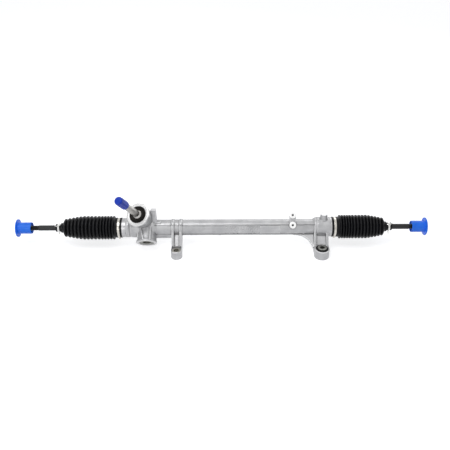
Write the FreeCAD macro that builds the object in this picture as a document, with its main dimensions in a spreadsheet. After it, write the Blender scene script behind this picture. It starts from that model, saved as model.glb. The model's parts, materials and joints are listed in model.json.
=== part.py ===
import FreeCAD, Part
import math
import os

import Sketcher
from FreeCAD import Rotation, Vector

# Steering rack for a passenger car, in millimetres.
# The origin is the left lug's bolt axis at its mounting face. X runs along the rack to the
# right, Z is up and the lugs reach forward, towards minus Y.

doc = FreeCAD.newDocument("steering_rack")

# Sizes that drive the model.
SIZES = {
    # Mounting and overall layout
    "lug_reach": 62.0,
    "rack_height": 56.0,
    "mount_spacing": 400.0,
    "mesh_offset": 84.0,
    "tower_tilt": 38.6,
    "tower_lean": 16.3,
    "housing_left_reach": 152.0,
    "housing_right_reach": 430.0,
    "fit_gap": 0.05,
    "seat_gap": 0.3,
    # Gear pair
    "gear_module": 2.0,
    "pinion_teeth": 8,
    "pressure_angle": 20.0,
    "addendum_share": 0.9,
    "root_clearance": 0.5,
    "profile_shift": 1.0,
    "tooth_backlash": 0.2,
    "rack_tooth_top": 9.6,
    "gear_half_width": 16.0,
    # Rack bar and its travel
    "rack_radius": 13.0,
    "rack_length": 721.0,
    "rack_shift": 8.5,
    "steering_stroke": 140.0,
    "stop_gap": 1.0,
    "rack_thread_radius": 8.0,
    "rack_thread_depth": 22.0,
    "rack_chamfer": 1.5,
    # Housing tube and ends
    "tube_radius": 22.2,
    "tube_bore_radius": 16.5,
    "boot_spigot_radius": 25.0,
    "boot_spigot_length": 14.0,
    "end_ring_radius": 26.8,
    "end_ring_width": 11.0,
    "end_groove_width": 2.0,
    "end_groove_radius": 25.4,
    "left_body_radius": 27.5,
    "left_body_end": 56.0,
    "left_body_taper": 10.0,
    "collar_radius": 28.0,
    "collar_start": 47.0,
    "collar_lead": 4.0,
    "collar_ring_width": 2.5,
    "collar_ring_step": 1.4,
    "stop_bore_radius": 18.8,
    # Pinion tower
    "tower_height": 66.0,
    "tower_rim_radius": 32.5,
    "tower_rim_height": 11.0,
    "tower_rim_chamfer": 1.6,
    "tower_neck_radius": 30.0,
    "tower_foot_radius": 22.0,
    "tower_foot_height": 12.0,
    "tower_depth": 38.0,
    "tower_floor": 4.0,
    "pinion_cavity_radius": 12.3,
    # Yoke housing
    "yoke_case_radius": 25.0,
    "yoke_case_length": 45.0,
    "yoke_rim_radius": 29.0,
    "yoke_rim_height": 6.0,
    "yoke_rim_flare": 4.0,
    "yoke_rim_chamfer": 1.5,
    "yoke_radius": 17.0,
    "yoke_start": 5.0,
    "yoke_end": 28.5,
    "yoke_pocket_radius": 12.8,
    "liner_wall": 0.8,
    "liner_length": 24.0,
    "liner_arc": 124.0,
    "plug_radius": 20.5,
    "plug_start": 31.0,
    "plug_recess": 1.5,
    "plug_socket_width": 22.0,
    "plug_socket_depth": 7.0,
    "disc_spring_wall": 1.5,
    "disc_spring_rise": 1.4,
    "disc_spring_inner": 6.0,
    # Pinion shaft and its bearings
    "lower_journal_radius": 8.0,
    "lower_bush_wall": 3.0,
    "lower_bush_length": 16.0,
    "pinion_neck_radius": 8.6,
    "bearing_start": 26.0,
    "bearing_width": 12.0,
    "bearing_bore_radius": 10.0,
    "bearing_outer_radius": 21.0,
    "race_wall": 3.2,
    "ring_width": 2.0,
    "ring_reach": 1.6,
    "ring_wall": 4.0,
    "seal_start": 50.0,
    "seal_radius": 24.0,
    "seal_recess": 1.5,
    "seal_journal_radius": 12.2,
    "seal_journal_end": 69.0,
    "seal_lip": 2.5,
    "shaft_radius": 9.0,
    "shaft_end": 181.0,
    "shaft_taper": 5.0,
    "spline_length": 40.0,
    "spline_count": 24,
    "spline_depth": 0.8,
    "clinch_radius": 7.4,
    "clinch_width": 9.0,
    "clinch_place": 160.0,
    # Cap on the pinion
    "pinion_cap_start": 136.0,
    "pinion_cap_radius": 11.0,
    "pinion_cap_wall": 1.7,
    "pinion_cap_end_wall": 2.5,
    "pinion_cap_round": 4.0,
    "pinion_cap_ribs": 12,
    "pinion_cap_rib_height": 0.8,
    "pinion_cap_rib_width": 1.6,
    # Lugs
    "lug_boss_radius": 15.5,
    "lug_boss_height": 22.0,
    "lug_bore_radius": 7.0,
    "lug_width": 29.0,
    "lug_rib_width": 7.0,
    "lug_collar_radius": 24.6,
    "right_boss_radius": 20.5,
    "right_boss_height": 26.0,
    "right_lug_width": 40.0,
    "right_rib_width": 6.5,
    "lug_web": 8.0,
    "gusset_radius": 47.0,
    "gusset_length": 50.0,
    "gusset_wall": 7.0,
    "gusset_step": 2.0,
    "bush_radius": 17.5,
    "bush_sleeve_radius": 9.0,
    "bush_bore_radius": 6.5,
    "bush_flange_radius": 12.0,
    "bush_flange_wall": 2.5,
    "bush_proud": 1.5,
    # Small bosses on the casting
    "post_width": 15.0,
    "post_thick": 13.0,
    "post_place": 62.0,
    "post_depth": 4.0,
    "post_top": 62.0,
    "stub_radius": 9.0,
    "stub_place": 409.0,
    "stub_setback": 2.0,
    "stub_top": 44.5,
    "keel_wall": 8.0,
    "keel_depth": 38.0,
    "keel_setback": 5.0,
    "pad_place": 321.0,
    "pad_tilt": 34.0,
    "pad_proud": 27.0,
    "pad_wall": 8.0,
    "pad_eye_radius": 10.0,
    "pad_pitch": 28.0,
    "pad_low": 4.5,
    "pad_bore_radius": 3.0,
    "pad_neck": 8.0,
    # Rack bush at the right end
    "rack_bush_start": 396.0,
    "rack_bush_length": 24.0,
    # Inner ball joints and tie rods
    "ball_radius": 12.0,
    "ball_seat_wall": 1.8,
    "socket_radius": 17.2,
    "socket_reach": 30.0,
    "socket_lip": 9.0,
    "socket_mouth_radius": 11.4,
    "socket_flat_width": 29.0,
    "socket_flat_length": 10.0,
    "lock_washer_wall": 1.6,
    "rod_neck_radius": 6.2,
    "rod_boot_radius": 8.5,
    "rod_boot_end": 78.0,
    "rod_radius": 7.5,
    "rod_length": 170.0,
    "rod_thread_radius": 6.9,
    "rod_thread_length": 43.0,
    # Boots
    "boot_ridges": 15,
    "boot_close_ridges": 5,
    "boot_close_share": 0.8,
    "boot_full_ridges": 9,
    "boot_ridge_flat": 0.36,
    "boot_big_radius": 32.5,
    "boot_small_radius": 24.4,
    "boot_ridge_depth": 5.2,
    "boot_wall": 1.8,
    "boot_collar_radius": 28.2,
    "boot_collar_length": 17.0,
    "boot_band_width": 8.0,
    "boot_band_depth": 1.0,
    "boot_neck_radius": 10.4,
    "boot_neck_length": 14.0,
    "boot_step_radius": 14.0,
    "boot_step_length": 9.0,
    "boot_small_place": 64.0,
    # Clamps
    "band_wall": 0.8,
    "band_width": 6.0,
    "band_ear_height": 4.5,
    "band_ear_width": 4.0,
    "band_ear_thick": 7.0,
    "band_turn": 56.0,
    "clip_wall": 1.0,
    "clip_width": 5.0,
    "clip_ear_height": 5.0,
    "clip_ear_thick": 1.2,
    "clip_ear_gap": 4.0,
    "clip_tail": 9.0,
    "clip_tail_thick": 1.8,
    "clip_turn": 123.0,
    # Caps on the tie rods
    "cap_radius": 16.0,
    "cap_wall": 2.0,
    "cap_length": 40.0,
    "cap_flange_radius": 25.0,
    "cap_flange_wall": 3.0,
    "cap_fins": 6,
    "cap_fin_wall": 1.6,
    "cap_mouth_left": 146.0,
    "cap_mouth_right": 133.0,
}

sheet = doc.addObject("Spreadsheet::Sheet", "Sizes")
for row, (alias, amount) in enumerate(SIZES.items(), start=1):
    sheet.set(f"A{row}", alias)
    sheet.set(f"B{row}", str(amount))
    sheet.setAlias(f"B{row}", alias)
doc.recompute()


# Derived lengths, written as expressions of the sheet.
def cell(alias):
    return f"Sizes.{alias}"


def value(expression):
    return float(sheet.evalExpression(expression))


PITCH_RADIUS = "(Sizes.gear_module * Sizes.pinion_teeth / 2 / cos(Sizes.tower_lean))"
RACK_LINE = "(Sizes.rack_tooth_top - Sizes.gear_module * Sizes.addendum_share)"
PINION_OFFSET = f"({RACK_LINE} + {PITCH_RADIUS} + Sizes.profile_shift)"
TIP_RADIUS = f"({PITCH_RADIUS} + Sizes.profile_shift + Sizes.gear_module * Sizes.addendum_share)"
ROOT_RADIUS = (
    f"({PITCH_RADIUS} + Sizes.profile_shift - Sizes.gear_module * Sizes.addendum_share"
    " - Sizes.root_clearance)"
)
TOOTH_PITCH = "(pi * Sizes.gear_module)"
HOUSING_MID = "((Sizes.housing_right_reach - Sizes.housing_left_reach) / 2)"
STOP_HALF = "((Sizes.rack_length - Sizes.steering_stroke) / 2 - Sizes.stop_gap)"
STOP_LEFT = f"({HOUSING_MID} - {STOP_HALF})"
STOP_RIGHT = f"({HOUSING_MID} + {STOP_HALF})"
RACK_MID = f"({HOUSING_MID} - Sizes.rack_shift)"
RACK_LEFT = f"({RACK_MID} - Sizes.rack_length / 2)"
RACK_RIGHT = f"({RACK_MID} + Sizes.rack_length / 2)"
BALL_LEFT = f"({RACK_LEFT} - Sizes.socket_reach)"
BALL_RIGHT = f"({RACK_RIGHT} + Sizes.socket_reach)"
SEAT_RADIUS = "(Sizes.ball_radius + Sizes.ball_seat_wall)"
PLUG_END = "(Sizes.yoke_case_length - Sizes.plug_recess)"
DISC_PAIR = "(2 * (Sizes.disc_spring_wall + Sizes.disc_spring_rise))"
ARM_ANGLE = "atan((Sizes.rack_height - Sizes.right_boss_height / 2) / Sizes.lug_reach)"

# Frames of the assembly, written as placement expressions.
RACK_FRAME = (
    "placement(vector(0; Sizes.lug_reach; Sizes.rack_height); rotation(vector(1; 0; 0); 0))"
)
MESH_TURN = (
    "placement(vector(-Sizes.mesh_offset; 0; 0); rotation(vector(1; 0; 0); Sizes.tower_tilt))"
)
PINION_TURN = (
    f"placement(vector(0; {PINION_OFFSET}; 0); rotation(vector(0; 1; 0); -Sizes.tower_lean))"
)
QUARTER_X = "placement(vector(0; 0; 0); rotation(vector(1; 0; 0); 90))"
MESH_FRAME = f"{RACK_FRAME} * {MESH_TURN}"
PINION_FRAME = f"{MESH_FRAME} * {PINION_TURN}"
YOKE_FRAME = f"{MESH_FRAME} * {QUARTER_X}"


def along_right(place):
    turn = f"placement(vector({place}; 0; 0); rotation(vector(0; 1; 0); 90))"
    return f"{RACK_FRAME} * {turn}"


def along_left(place):
    turn = f"placement(vector({place}; 0; 0); rotation(vector(0; 1; 0); -90))"
    return f"{RACK_FRAME} * {turn}"


# Modelling helpers.
pieces = []


def new_body(label, frame):
    body = doc.addObject("PartDesign::Body", label)
    body.Label = label
    body.setExpression("Placement", frame)
    pieces.append(body)
    return body


def new_sketch(body, name, plane="XZ_Plane", offset=None):
    sketch = body.newObject("Sketcher::SketchObject", name)
    planes = {item.Role: item for item in body.Origin.OriginFeatures}
    sketch.AttachmentSupport = [(planes[plane], "")]
    sketch.MapMode = "FlatFace"
    if offset:
        sketch.setExpression("AttachmentOffset", offset)
    doc.recompute()
    return sketch


def bind(sketch, kind, where, expression, amount):
    """Tie a coordinate of a sketch point to an expression of the sheet."""
    index = sketch.addConstraint(Sketcher.Constraint(kind, -1, 1, where[0], where[1], amount))
    sketch.setExpression(f"Constraints[{index}]", expression)


def outline(sketch, points):
    """Draw a closed outline of straight lines through points given as expressions."""
    places = [(value(across), value(along)) for across, along in points]
    first = sketch.GeometryCount
    count = len(points)
    for number, (start, end) in enumerate(zip(places, places[1:] + places[:1])):
        sketch.addGeometry(Part.LineSegment(Vector(*start, 0), Vector(*end, 0)), False)
    for number in range(count):
        following = first + (number + 1) % count
        sketch.addConstraint(Sketcher.Constraint("Coincident", first + number, 2, following, 1))
    for number, (across, along) in enumerate(points):
        spot = (first + number, 1)
        bind(sketch, "DistanceX", spot, across, places[number][0])
        bind(sketch, "DistanceY", spot, along, places[number][1])


def disc(sketch, across, along, radius):
    """Draw a circle whose centre and radius are given as expressions."""
    centre = Vector(value(across), value(along), 0)
    index = sketch.addGeometry(Part.Circle(centre, Vector(0, 0, 1), value(radius)), False)
    bind(sketch, "DistanceX", (index, 3), across, centre.x)
    bind(sketch, "DistanceY", (index, 3), along, centre.y)
    size = sketch.addConstraint(Sketcher.Constraint("Radius", index, value(radius)))
    sketch.setExpression(f"Constraints[{size}]", radius)


def turn_profile(body, name, points, cut=False, plane="XZ_Plane", offset=None, axis="V_Axis"):
    """Revolve a closed outline about one axis of its own sketch."""
    sketch = new_sketch(body, f"{name}_profile", plane, offset)
    outline(sketch, points)
    kind = "PartDesign::Groove" if cut else "PartDesign::Revolution"
    feature = body.newObject(kind, name)
    feature.Profile = sketch
    feature.ReferenceAxis = (sketch, [axis])
    feature.Angle = 360
    doc.recompute()
    return feature


def pad(body, name, sketch, length, both_ways=False, reverse=False):
    feature = body.newObject("PartDesign::Pad", name)
    feature.Profile = sketch
    feature.SideType = "Symmetric" if both_ways else "One side"
    feature.Reversed = reverse
    feature.setExpression("Length", length)
    doc.recompute()
    return feature


def pocket(body, name, sketch, length, both_ways=False, reverse=False):
    feature = body.newObject("PartDesign::Pocket", name)
    feature.Profile = sketch
    feature.SideType = "Symmetric" if both_ways else "One side"
    feature.Reversed = reverse
    feature.setExpression("Length", length)
    doc.recompute()
    return feature


def polar_pattern(body, name, source, count):
    """Repeat a feature about the body's own Z axis."""
    pattern = body.newObject("PartDesign::PolarPattern", name)
    pattern.Originals = [source]
    axes = {item.Role: item for item in body.Origin.OriginFeatures}
    pattern.Axis = (axes["Z_Axis"], [""])
    pattern.Angle = 360
    pattern.setExpression("Occurrences", count)
    body.Tip = pattern
    doc.recompute()
    return pattern


def sphere(body, name, radius, cut=False):
    kind = "PartDesign::SubtractiveSphere" if cut else "PartDesign::AdditiveSphere"
    feature = body.newObject(kind, name)
    feature.setExpression("Radius", radius)
    doc.recompute()
    return feature


def ring_points(inner, outer, low, high):
    return [(inner, low), (outer, low), (outer, high), (inner, high)]


# Housing casting, in the rack axis frame.
housing = new_body("rack_housing", RACK_FRAME)
LEFT_END = "(-Sizes.housing_left_reach)"
RIGHT_END = "Sizes.housing_right_reach"
LEFT_RING = f"({LEFT_END} + Sizes.end_ring_width)"
LEFT_BODY = f"({LEFT_RING} + Sizes.end_groove_width)"
COLLAR = "(Sizes.housing_right_reach - Sizes.collar_start)"
RIGHT_RING = "(Sizes.housing_right_reach - Sizes.end_ring_width / 2)"
RING_ONE = f"({COLLAR} + Sizes.collar_lead)"
RING_TWO = f"({RING_ONE} + Sizes.collar_ring_width)"
COLLAR_LOW = "(Sizes.collar_radius - Sizes.collar_ring_step)"
turn_profile(
    housing,
    "tube",
    [
        (f"{LEFT_END} - Sizes.boot_spigot_length", "0"),
        (f"{LEFT_END} - Sizes.boot_spigot_length", "Sizes.boot_spigot_radius"),
        (LEFT_END, "Sizes.boot_spigot_radius"),
        (LEFT_END, "Sizes.end_ring_radius"),
        (LEFT_RING, "Sizes.end_ring_radius"),
        (LEFT_RING, "Sizes.end_groove_radius"),
        (LEFT_BODY, "Sizes.end_groove_radius"),
        (LEFT_BODY, "Sizes.left_body_radius"),
        ("-Sizes.left_body_end - Sizes.left_body_taper", "Sizes.left_body_radius"),
        ("-Sizes.left_body_end", "Sizes.tube_radius"),
        (COLLAR, "Sizes.tube_radius"),
        (COLLAR, COLLAR_LOW),
        (RING_ONE, COLLAR_LOW),
        (RING_ONE, f"{COLLAR_LOW} - Sizes.collar_ring_step"),
        (RING_TWO, f"{COLLAR_LOW} - Sizes.collar_ring_step"),
        (RING_TWO, "Sizes.collar_radius"),
        (RIGHT_RING, "Sizes.collar_radius"),
        (RIGHT_RING, "Sizes.end_ring_radius"),
        (RIGHT_END, "Sizes.end_ring_radius"),
        (RIGHT_END, "Sizes.boot_spigot_radius"),
        (f"{RIGHT_END} + Sizes.boot_spigot_length", "Sizes.boot_spigot_radius"),
        (f"{RIGHT_END} + Sizes.boot_spigot_length", "0"),
    ],
    plane="XY_Plane",
    axis="H_Axis",
)

# Tower for the pinion, about the pinion axis.
TOWER_OFFSET = f"{MESH_TURN} * {PINION_TURN} * {QUARTER_X}"
turn_profile(
    housing,
    "tower",
    [
        ("0", "-Sizes.tower_depth"),
        ("Sizes.tower_foot_radius - Sizes.tower_floor", "-Sizes.tower_depth"),
        ("Sizes.tower_foot_radius", "-Sizes.tower_depth + Sizes.tower_floor"),
        ("Sizes.tower_foot_radius", "Sizes.tower_foot_height"),
        ("Sizes.tower_neck_radius", "Sizes.tower_height - Sizes.tower_rim_height * 2"),
        ("Sizes.tower_neck_radius", "Sizes.tower_height - Sizes.tower_rim_height"),
        (
            "Sizes.tower_rim_radius",
            "Sizes.tower_height - Sizes.tower_rim_height + Sizes.tower_rim_chamfer",
        ),
        ("Sizes.tower_rim_radius", "Sizes.tower_height - Sizes.tower_rim_chamfer"),
        ("Sizes.tower_rim_radius - Sizes.tower_rim_chamfer", "Sizes.tower_height"),
        ("0", "Sizes.tower_height"),
    ],
    plane="XY_Plane",
    offset=TOWER_OFFSET,
)

# Case for the yoke, square to the rack and opposite the pinion.
YOKE_OFFSET = f"{MESH_TURN} * {QUARTER_X} * {QUARTER_X}"
turn_profile(
    housing,
    "yoke_case",
    [
        ("0", "0"),
        ("Sizes.yoke_case_radius", "0"),
        (
            "Sizes.yoke_case_radius",
            "Sizes.yoke_case_length - Sizes.yoke_rim_height - Sizes.yoke_rim_flare",
        ),
        ("Sizes.yoke_rim_radius", "Sizes.yoke_case_length - Sizes.yoke_rim_height"),
        ("Sizes.yoke_rim_radius", "Sizes.yoke_case_length - Sizes.yoke_rim_chamfer"),
        ("Sizes.yoke_rim_radius - Sizes.yoke_rim_chamfer", "Sizes.yoke_case_length"),
        ("0", "Sizes.yoke_case_length"),
    ],
    plane="XY_Plane",
    offset=YOKE_OFFSET,
)


# Keel web under the tube, from the yoke case to the left lug.
keel_plane = (
    "placement(vector(0; 0; Sizes.keel_setback); rotation(vector(0; 0; 1); 0))"
)
keel = new_sketch(housing, "keel_profile", "XZ_Plane", keel_plane)
outline(
    keel,
    [
        ("-Sizes.mesh_offset + Sizes.yoke_case_radius / 2", "-Sizes.tube_radius / 2"),
        ("-Sizes.mesh_offset + Sizes.yoke_case_radius / 2", "-Sizes.keel_depth"),
        ("-Sizes.lug_width / 2 + Sizes.lug_rib_width / 2", "-Sizes.keel_depth"),
        ("-Sizes.lug_width / 2 + Sizes.lug_rib_width / 2", "-Sizes.tube_radius / 2"),
    ],
)
pad(housing, "keel", keel, cell("keel_wall"), both_ways=True)


def lug(name, place, width, rib, boss_radius, boss_height):
    """A forward lug: two wrapped ribs, a thin web between them and a bolt boss."""
    drop = "(-Sizes.rack_height)"
    top = f"({drop} + {boss_height})"
    for side, sign in (("left", "-"), ("right", "+")):
        across = f"({place} {sign} ({width} - {rib}) / 2)"
        offset = f"placement(vector(0; 0; {across}); rotation(vector(0; 0; 1); 0))"
        wrap = new_sketch(housing, f"{name}_{side}_wrap_profile", "YZ_Plane", offset)
        disc(wrap, "0", "0", "Sizes.lug_collar_radius")
        pad(housing, f"{name}_{side}_wrap", wrap, rib, both_ways=True)
        arm = new_sketch(housing, f"{name}_{side}_rib_profile", "YZ_Plane", offset)
        outline(
            arm,
            [
                ("-Sizes.lug_collar_radius / 2", "Sizes.lug_collar_radius * cos(30)"),
                (f"-Sizes.lug_reach + {boss_radius} * 3 / 5", top),
                ("-Sizes.lug_reach", top),
                ("-Sizes.lug_reach", drop),
                (f"-Sizes.lug_reach + {boss_radius}", drop),
                ("Sizes.lug_collar_radius / 2", "-Sizes.lug_collar_radius * cos(30)"),
            ],
        )
        pad(housing, f"{name}_{side}_rib", arm, rib, both_ways=True)
    middle = f"placement(vector(0; 0; {place}); rotation(vector(0; 0; 1); 0))"
    web = new_sketch(housing, f"{name}_web_profile", "YZ_Plane", middle)
    outline(
        web,
        [
            ("-Sizes.tube_radius / 2", "0"),
            (f"-Sizes.lug_reach + {boss_radius} * 3 / 5", f"{top} - Sizes.lug_web / 2"),
            (f"-Sizes.lug_reach + {boss_radius} * 3 / 5", f"{top} - Sizes.lug_web * 3 / 2"),
            ("0", "-Sizes.tube_radius / 2 - Sizes.lug_web / 2"),
        ],
    )
    pad(housing, f"{name}_web", web, f"{width} - {rib}", both_ways=True)
    floor = f"placement(vector(0; 0; {drop}); rotation(vector(0; 0; 1); 0))"
    boss = new_sketch(housing, f"{name}_boss_profile", "XY_Plane", floor)
    disc(boss, place, "-Sizes.lug_reach", boss_radius)
    pad(housing, f"{name}_boss", boss, boss_height)
    return floor


left_floor = lug(
    "left_lug", "0", cell("lug_width"), cell("lug_rib_width"), cell("lug_boss_radius"),
    cell("lug_boss_height"),
)
right_floor = lug(
    "right_lug", cell("mount_spacing"), cell("right_lug_width"), cell("right_rib_width"),
    cell("right_boss_radius"), cell("right_boss_height"),
)

# Gusset that runs from the tube to the right lug, hollowed to a curve.
gusset_plane = f"placement(vector(0; 0; 0); rotation(vector(1; 0; 0); {ARM_ANGLE}))"
gusset = new_sketch(housing, "gusset_profile", "XY_Plane", gusset_plane)
GUSSET_END = "(Sizes.mount_spacing - Sizes.right_lug_width / 2 + Sizes.right_rib_width / 2)"
BOSS_SLANT = f"(Sizes.lug_reach / cos({ARM_ANGLE}))"
outline(
    gusset,
    [
        (f"{GUSSET_END} - Sizes.gusset_length", "0"),
        (f"{GUSSET_END} - Sizes.gusset_length", f"-{BOSS_SLANT} + Sizes.right_boss_radius"),
        (GUSSET_END, f"-{BOSS_SLANT} + Sizes.right_boss_radius / 2"),
        (GUSSET_END, "0"),
    ],
)
pad(housing, "gusset", gusset, cell("gusset_wall"), both_ways=True)
hollow = new_sketch(housing, "gusset_curve_profile", "XY_Plane", gusset_plane)
disc(
    hollow,
    f"{GUSSET_END} - Sizes.right_rib_width - Sizes.gusset_radius",
    "-Sizes.tube_radius - Sizes.gusset_step - Sizes.gusset_radius",
    cell("gusset_radius"),
)
pocket(housing, "gusset_curve", hollow, "Sizes.gusset_wall * 2", both_ways=True)

# Upright post beside the tower and short stub on the right collar.
post_plane = (
    "placement(vector(0; 0; Sizes.tube_bore_radius / 2); rotation(vector(0; 0; 1); 0))"
)
post = new_sketch(housing, "post_profile", "XY_Plane", post_plane)
post_left = "-Sizes.post_place - Sizes.post_width / 2"
post_right = "-Sizes.post_place + Sizes.post_width / 2"
post_front = "-Sizes.post_depth - Sizes.post_thick / 2"
post_back = "-Sizes.post_depth + Sizes.post_thick / 2"
outline(
    post,
    [
        (post_left, post_front),
        (post_right, post_front),
        (post_right, post_back),
        (post_left, post_back),
    ],
)
pad(housing, "post", post, "Sizes.post_top - Sizes.tube_bore_radius / 2")
stub = new_sketch(housing, "stub_profile", "XY_Plane", post_plane)
disc(stub, cell("stub_place"), "-Sizes.stub_setback", cell("stub_radius"))
pad(housing, "stub", stub, "Sizes.stub_top - Sizes.tube_bore_radius / 2")

# Two-eyed pad on the tube, facing forward and up.
PAD_TURN = (
    "placement(vector(Sizes.pad_place; 0; 0); rotation(vector(1; 0; 0); 90 - Sizes.pad_tilt))"
    " * placement(vector(0; 0; Sizes.pad_proud); rotation(vector(0; 0; 1); 0))"
)
PAD_HIGH = "(Sizes.pad_low + Sizes.pad_pitch)"
neck = new_sketch(housing, "pad_neck_profile", "XY_Plane", PAD_TURN)
outline(
    neck,
    [
        ("-Sizes.pad_neck", cell("pad_low")),
        ("Sizes.pad_neck", cell("pad_low")),
        ("Sizes.pad_neck", PAD_HIGH),
        ("-Sizes.pad_neck", PAD_HIGH),
    ],
)
pad(housing, "pad_neck", neck, cell("pad_wall"), reverse=True)
for name, height, depth in (
    ("low_eye", cell("pad_low"), "Sizes.pad_proud - Sizes.tube_bore_radius - Sizes.fit_gap"),
    ("high_eye", PAD_HIGH, "Sizes.pad_wall * 3 / 2"),
):
    eye = new_sketch(housing, f"{name}_profile", "XY_Plane", PAD_TURN)
    disc(eye, "0", height, cell("pad_eye_radius"))
    pad(housing, name, eye, depth, reverse=True)

# Bores of the housing.
turn_profile(
    housing,
    "rack_bore",
    [
        (f"{LEFT_END} - Sizes.boot_spigot_length - 1", "0"),
        (f"{LEFT_END} - Sizes.boot_spigot_length - 1", "Sizes.stop_bore_radius"),
        (STOP_LEFT, "Sizes.stop_bore_radius"),
        (STOP_LEFT, "Sizes.tube_bore_radius"),
        (STOP_RIGHT, "Sizes.tube_bore_radius"),
        (STOP_RIGHT, "Sizes.stop_bore_radius"),
        (f"{RIGHT_END} + Sizes.boot_spigot_length + 1", "Sizes.stop_bore_radius"),
        (f"{RIGHT_END} + Sizes.boot_spigot_length + 1", "0"),
    ],
    cut=True,
    plane="XY_Plane",
    axis="H_Axis",
)
BUSH_LOW = "(-Sizes.gear_half_width - 2 - Sizes.lower_bush_length)"
BUSH_RADIUS = "(Sizes.lower_journal_radius + Sizes.lower_bush_wall)"
BEARING_TOP = "(Sizes.bearing_start + Sizes.bearing_width)"
RING_TOP = f"({BEARING_TOP} + Sizes.ring_width)"
BEARING_SEAT = "(Sizes.bearing_outer_radius + Sizes.fit_gap)"
turn_profile(
    housing,
    "pinion_bore",
    [
        ("0", BUSH_LOW),
        (f"{BUSH_RADIUS} + Sizes.fit_gap", BUSH_LOW),
        (f"{BUSH_RADIUS} + Sizes.fit_gap", "-Sizes.gear_half_width - 2"),
        ("Sizes.pinion_cavity_radius", "-Sizes.gear_half_width - 2"),
        ("Sizes.pinion_cavity_radius", cell("bearing_start")),
        (BEARING_SEAT, cell("bearing_start")),
        (BEARING_SEAT, BEARING_TOP),
        (f"{BEARING_SEAT} + Sizes.ring_reach", BEARING_TOP),
        (f"{BEARING_SEAT} + Sizes.ring_reach", f"{RING_TOP} + Sizes.fit_gap"),
        (BEARING_SEAT, f"{RING_TOP} + Sizes.fit_gap"),
        (BEARING_SEAT, cell("seal_start")),
        ("Sizes.seal_radius + Sizes.fit_gap", cell("seal_start")),
        ("Sizes.seal_radius + Sizes.fit_gap", "Sizes.tower_height + 1"),
        ("0", "Sizes.tower_height + 1"),
    ],
    cut=True,
    plane="XY_Plane",
    offset=TOWER_OFFSET,
)
turn_profile(
    housing,
    "yoke_bore",
    [
        ("0", "0"),
        ("Sizes.yoke_radius + Sizes.fit_gap", "0"),
        ("Sizes.yoke_radius + Sizes.fit_gap", cell("plug_start")),
        ("Sizes.plug_radius + Sizes.fit_gap", cell("plug_start")),
        ("Sizes.plug_radius + Sizes.fit_gap", "Sizes.yoke_case_length + 1"),
        ("0", "Sizes.yoke_case_length + 1"),
    ],
    cut=True,
    plane="XY_Plane",
    offset=YOKE_OFFSET,
)


def drill(name, plane, across, along, radius, depth, deeper="0"):
    """Bore a round hole up from a sketch plane, started a little below it."""
    start = f"{plane} * placement(vector(0; 0; -1); rotation(vector(0; 0; 1); 0))"
    sketch = new_sketch(housing, f"{name}_profile", "XY_Plane", start)
    disc(sketch, across, along, radius)
    return pocket(housing, name, sketch, f"{depth} + 2", reverse=True)


drill("left_bolt_bore", left_floor, "0", "-Sizes.lug_reach", cell("lug_bore_radius"),
      cell("lug_boss_height"))
drill("right_bush_bore", right_floor, cell("mount_spacing"), "-Sizes.lug_reach",
      "Sizes.bush_radius + Sizes.fit_gap", cell("right_boss_height"))
PAD_BACK = (
    f"{PAD_TURN} * placement(vector(0; 0; -Sizes.pad_wall); rotation(vector(0; 0; 1); 0))"
)
drill("low_eye_bore", PAD_BACK, "0", cell("pad_low"), cell("pad_bore_radius"),
      cell("pad_wall"))
drill("high_eye_bore", PAD_BACK, "0", PAD_HIGH, cell("pad_bore_radius"), cell("pad_wall"))
drill(
    "high_eye_clear",
    f"{PAD_TURN} * placement(vector(0; 0; -Sizes.pad_wall * 2); rotation(vector(0; 0; 1); 0))",
    "0", PAD_HIGH, cell("pad_bore_radius"), cell("pad_wall"),
)

# Rack bar with straight teeth, in the mesh frame.
rack = new_body("rack_bar", MESH_FRAME)
RACK_START = f"({RACK_LEFT} + Sizes.mesh_offset)"
RACK_STOP = f"({RACK_RIGHT} + Sizes.mesh_offset)"
turn_profile(
    rack,
    "bar",
    [
        (RACK_START, "0"),
        (RACK_START, "Sizes.rack_radius - Sizes.rack_chamfer"),
        (f"{RACK_START} + Sizes.rack_chamfer", "Sizes.rack_radius"),
        (f"{RACK_STOP} - Sizes.rack_chamfer", "Sizes.rack_radius"),
        (RACK_STOP, "Sizes.rack_radius - Sizes.rack_chamfer"),
        (RACK_STOP, "0"),
    ],
    plane="XY_Plane",
    axis="H_Axis",
)
turn_profile(
    rack,
    "left_thread_hole",
    [
        (f"{RACK_START} - 1", "0"),
        (f"{RACK_START} - 1", "Sizes.rack_thread_radius"),
        (f"{RACK_START} + Sizes.rack_thread_depth", "Sizes.rack_thread_radius"),
        (f"{RACK_START} + Sizes.rack_thread_depth", "0"),
    ],
    cut=True,
    plane="XY_Plane",
    axis="H_Axis",
)
turn_profile(
    rack,
    "right_thread_hole",
    [
        (f"{RACK_STOP} + 1", "0"),
        (f"{RACK_STOP} + 1", "Sizes.rack_thread_radius"),
        (f"{RACK_STOP} - Sizes.rack_thread_depth", "Sizes.rack_thread_radius"),
        (f"{RACK_STOP} - Sizes.rack_thread_depth", "0"),
    ],
    cut=True,
    plane="XY_Plane",
    axis="H_Axis",
)
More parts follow.
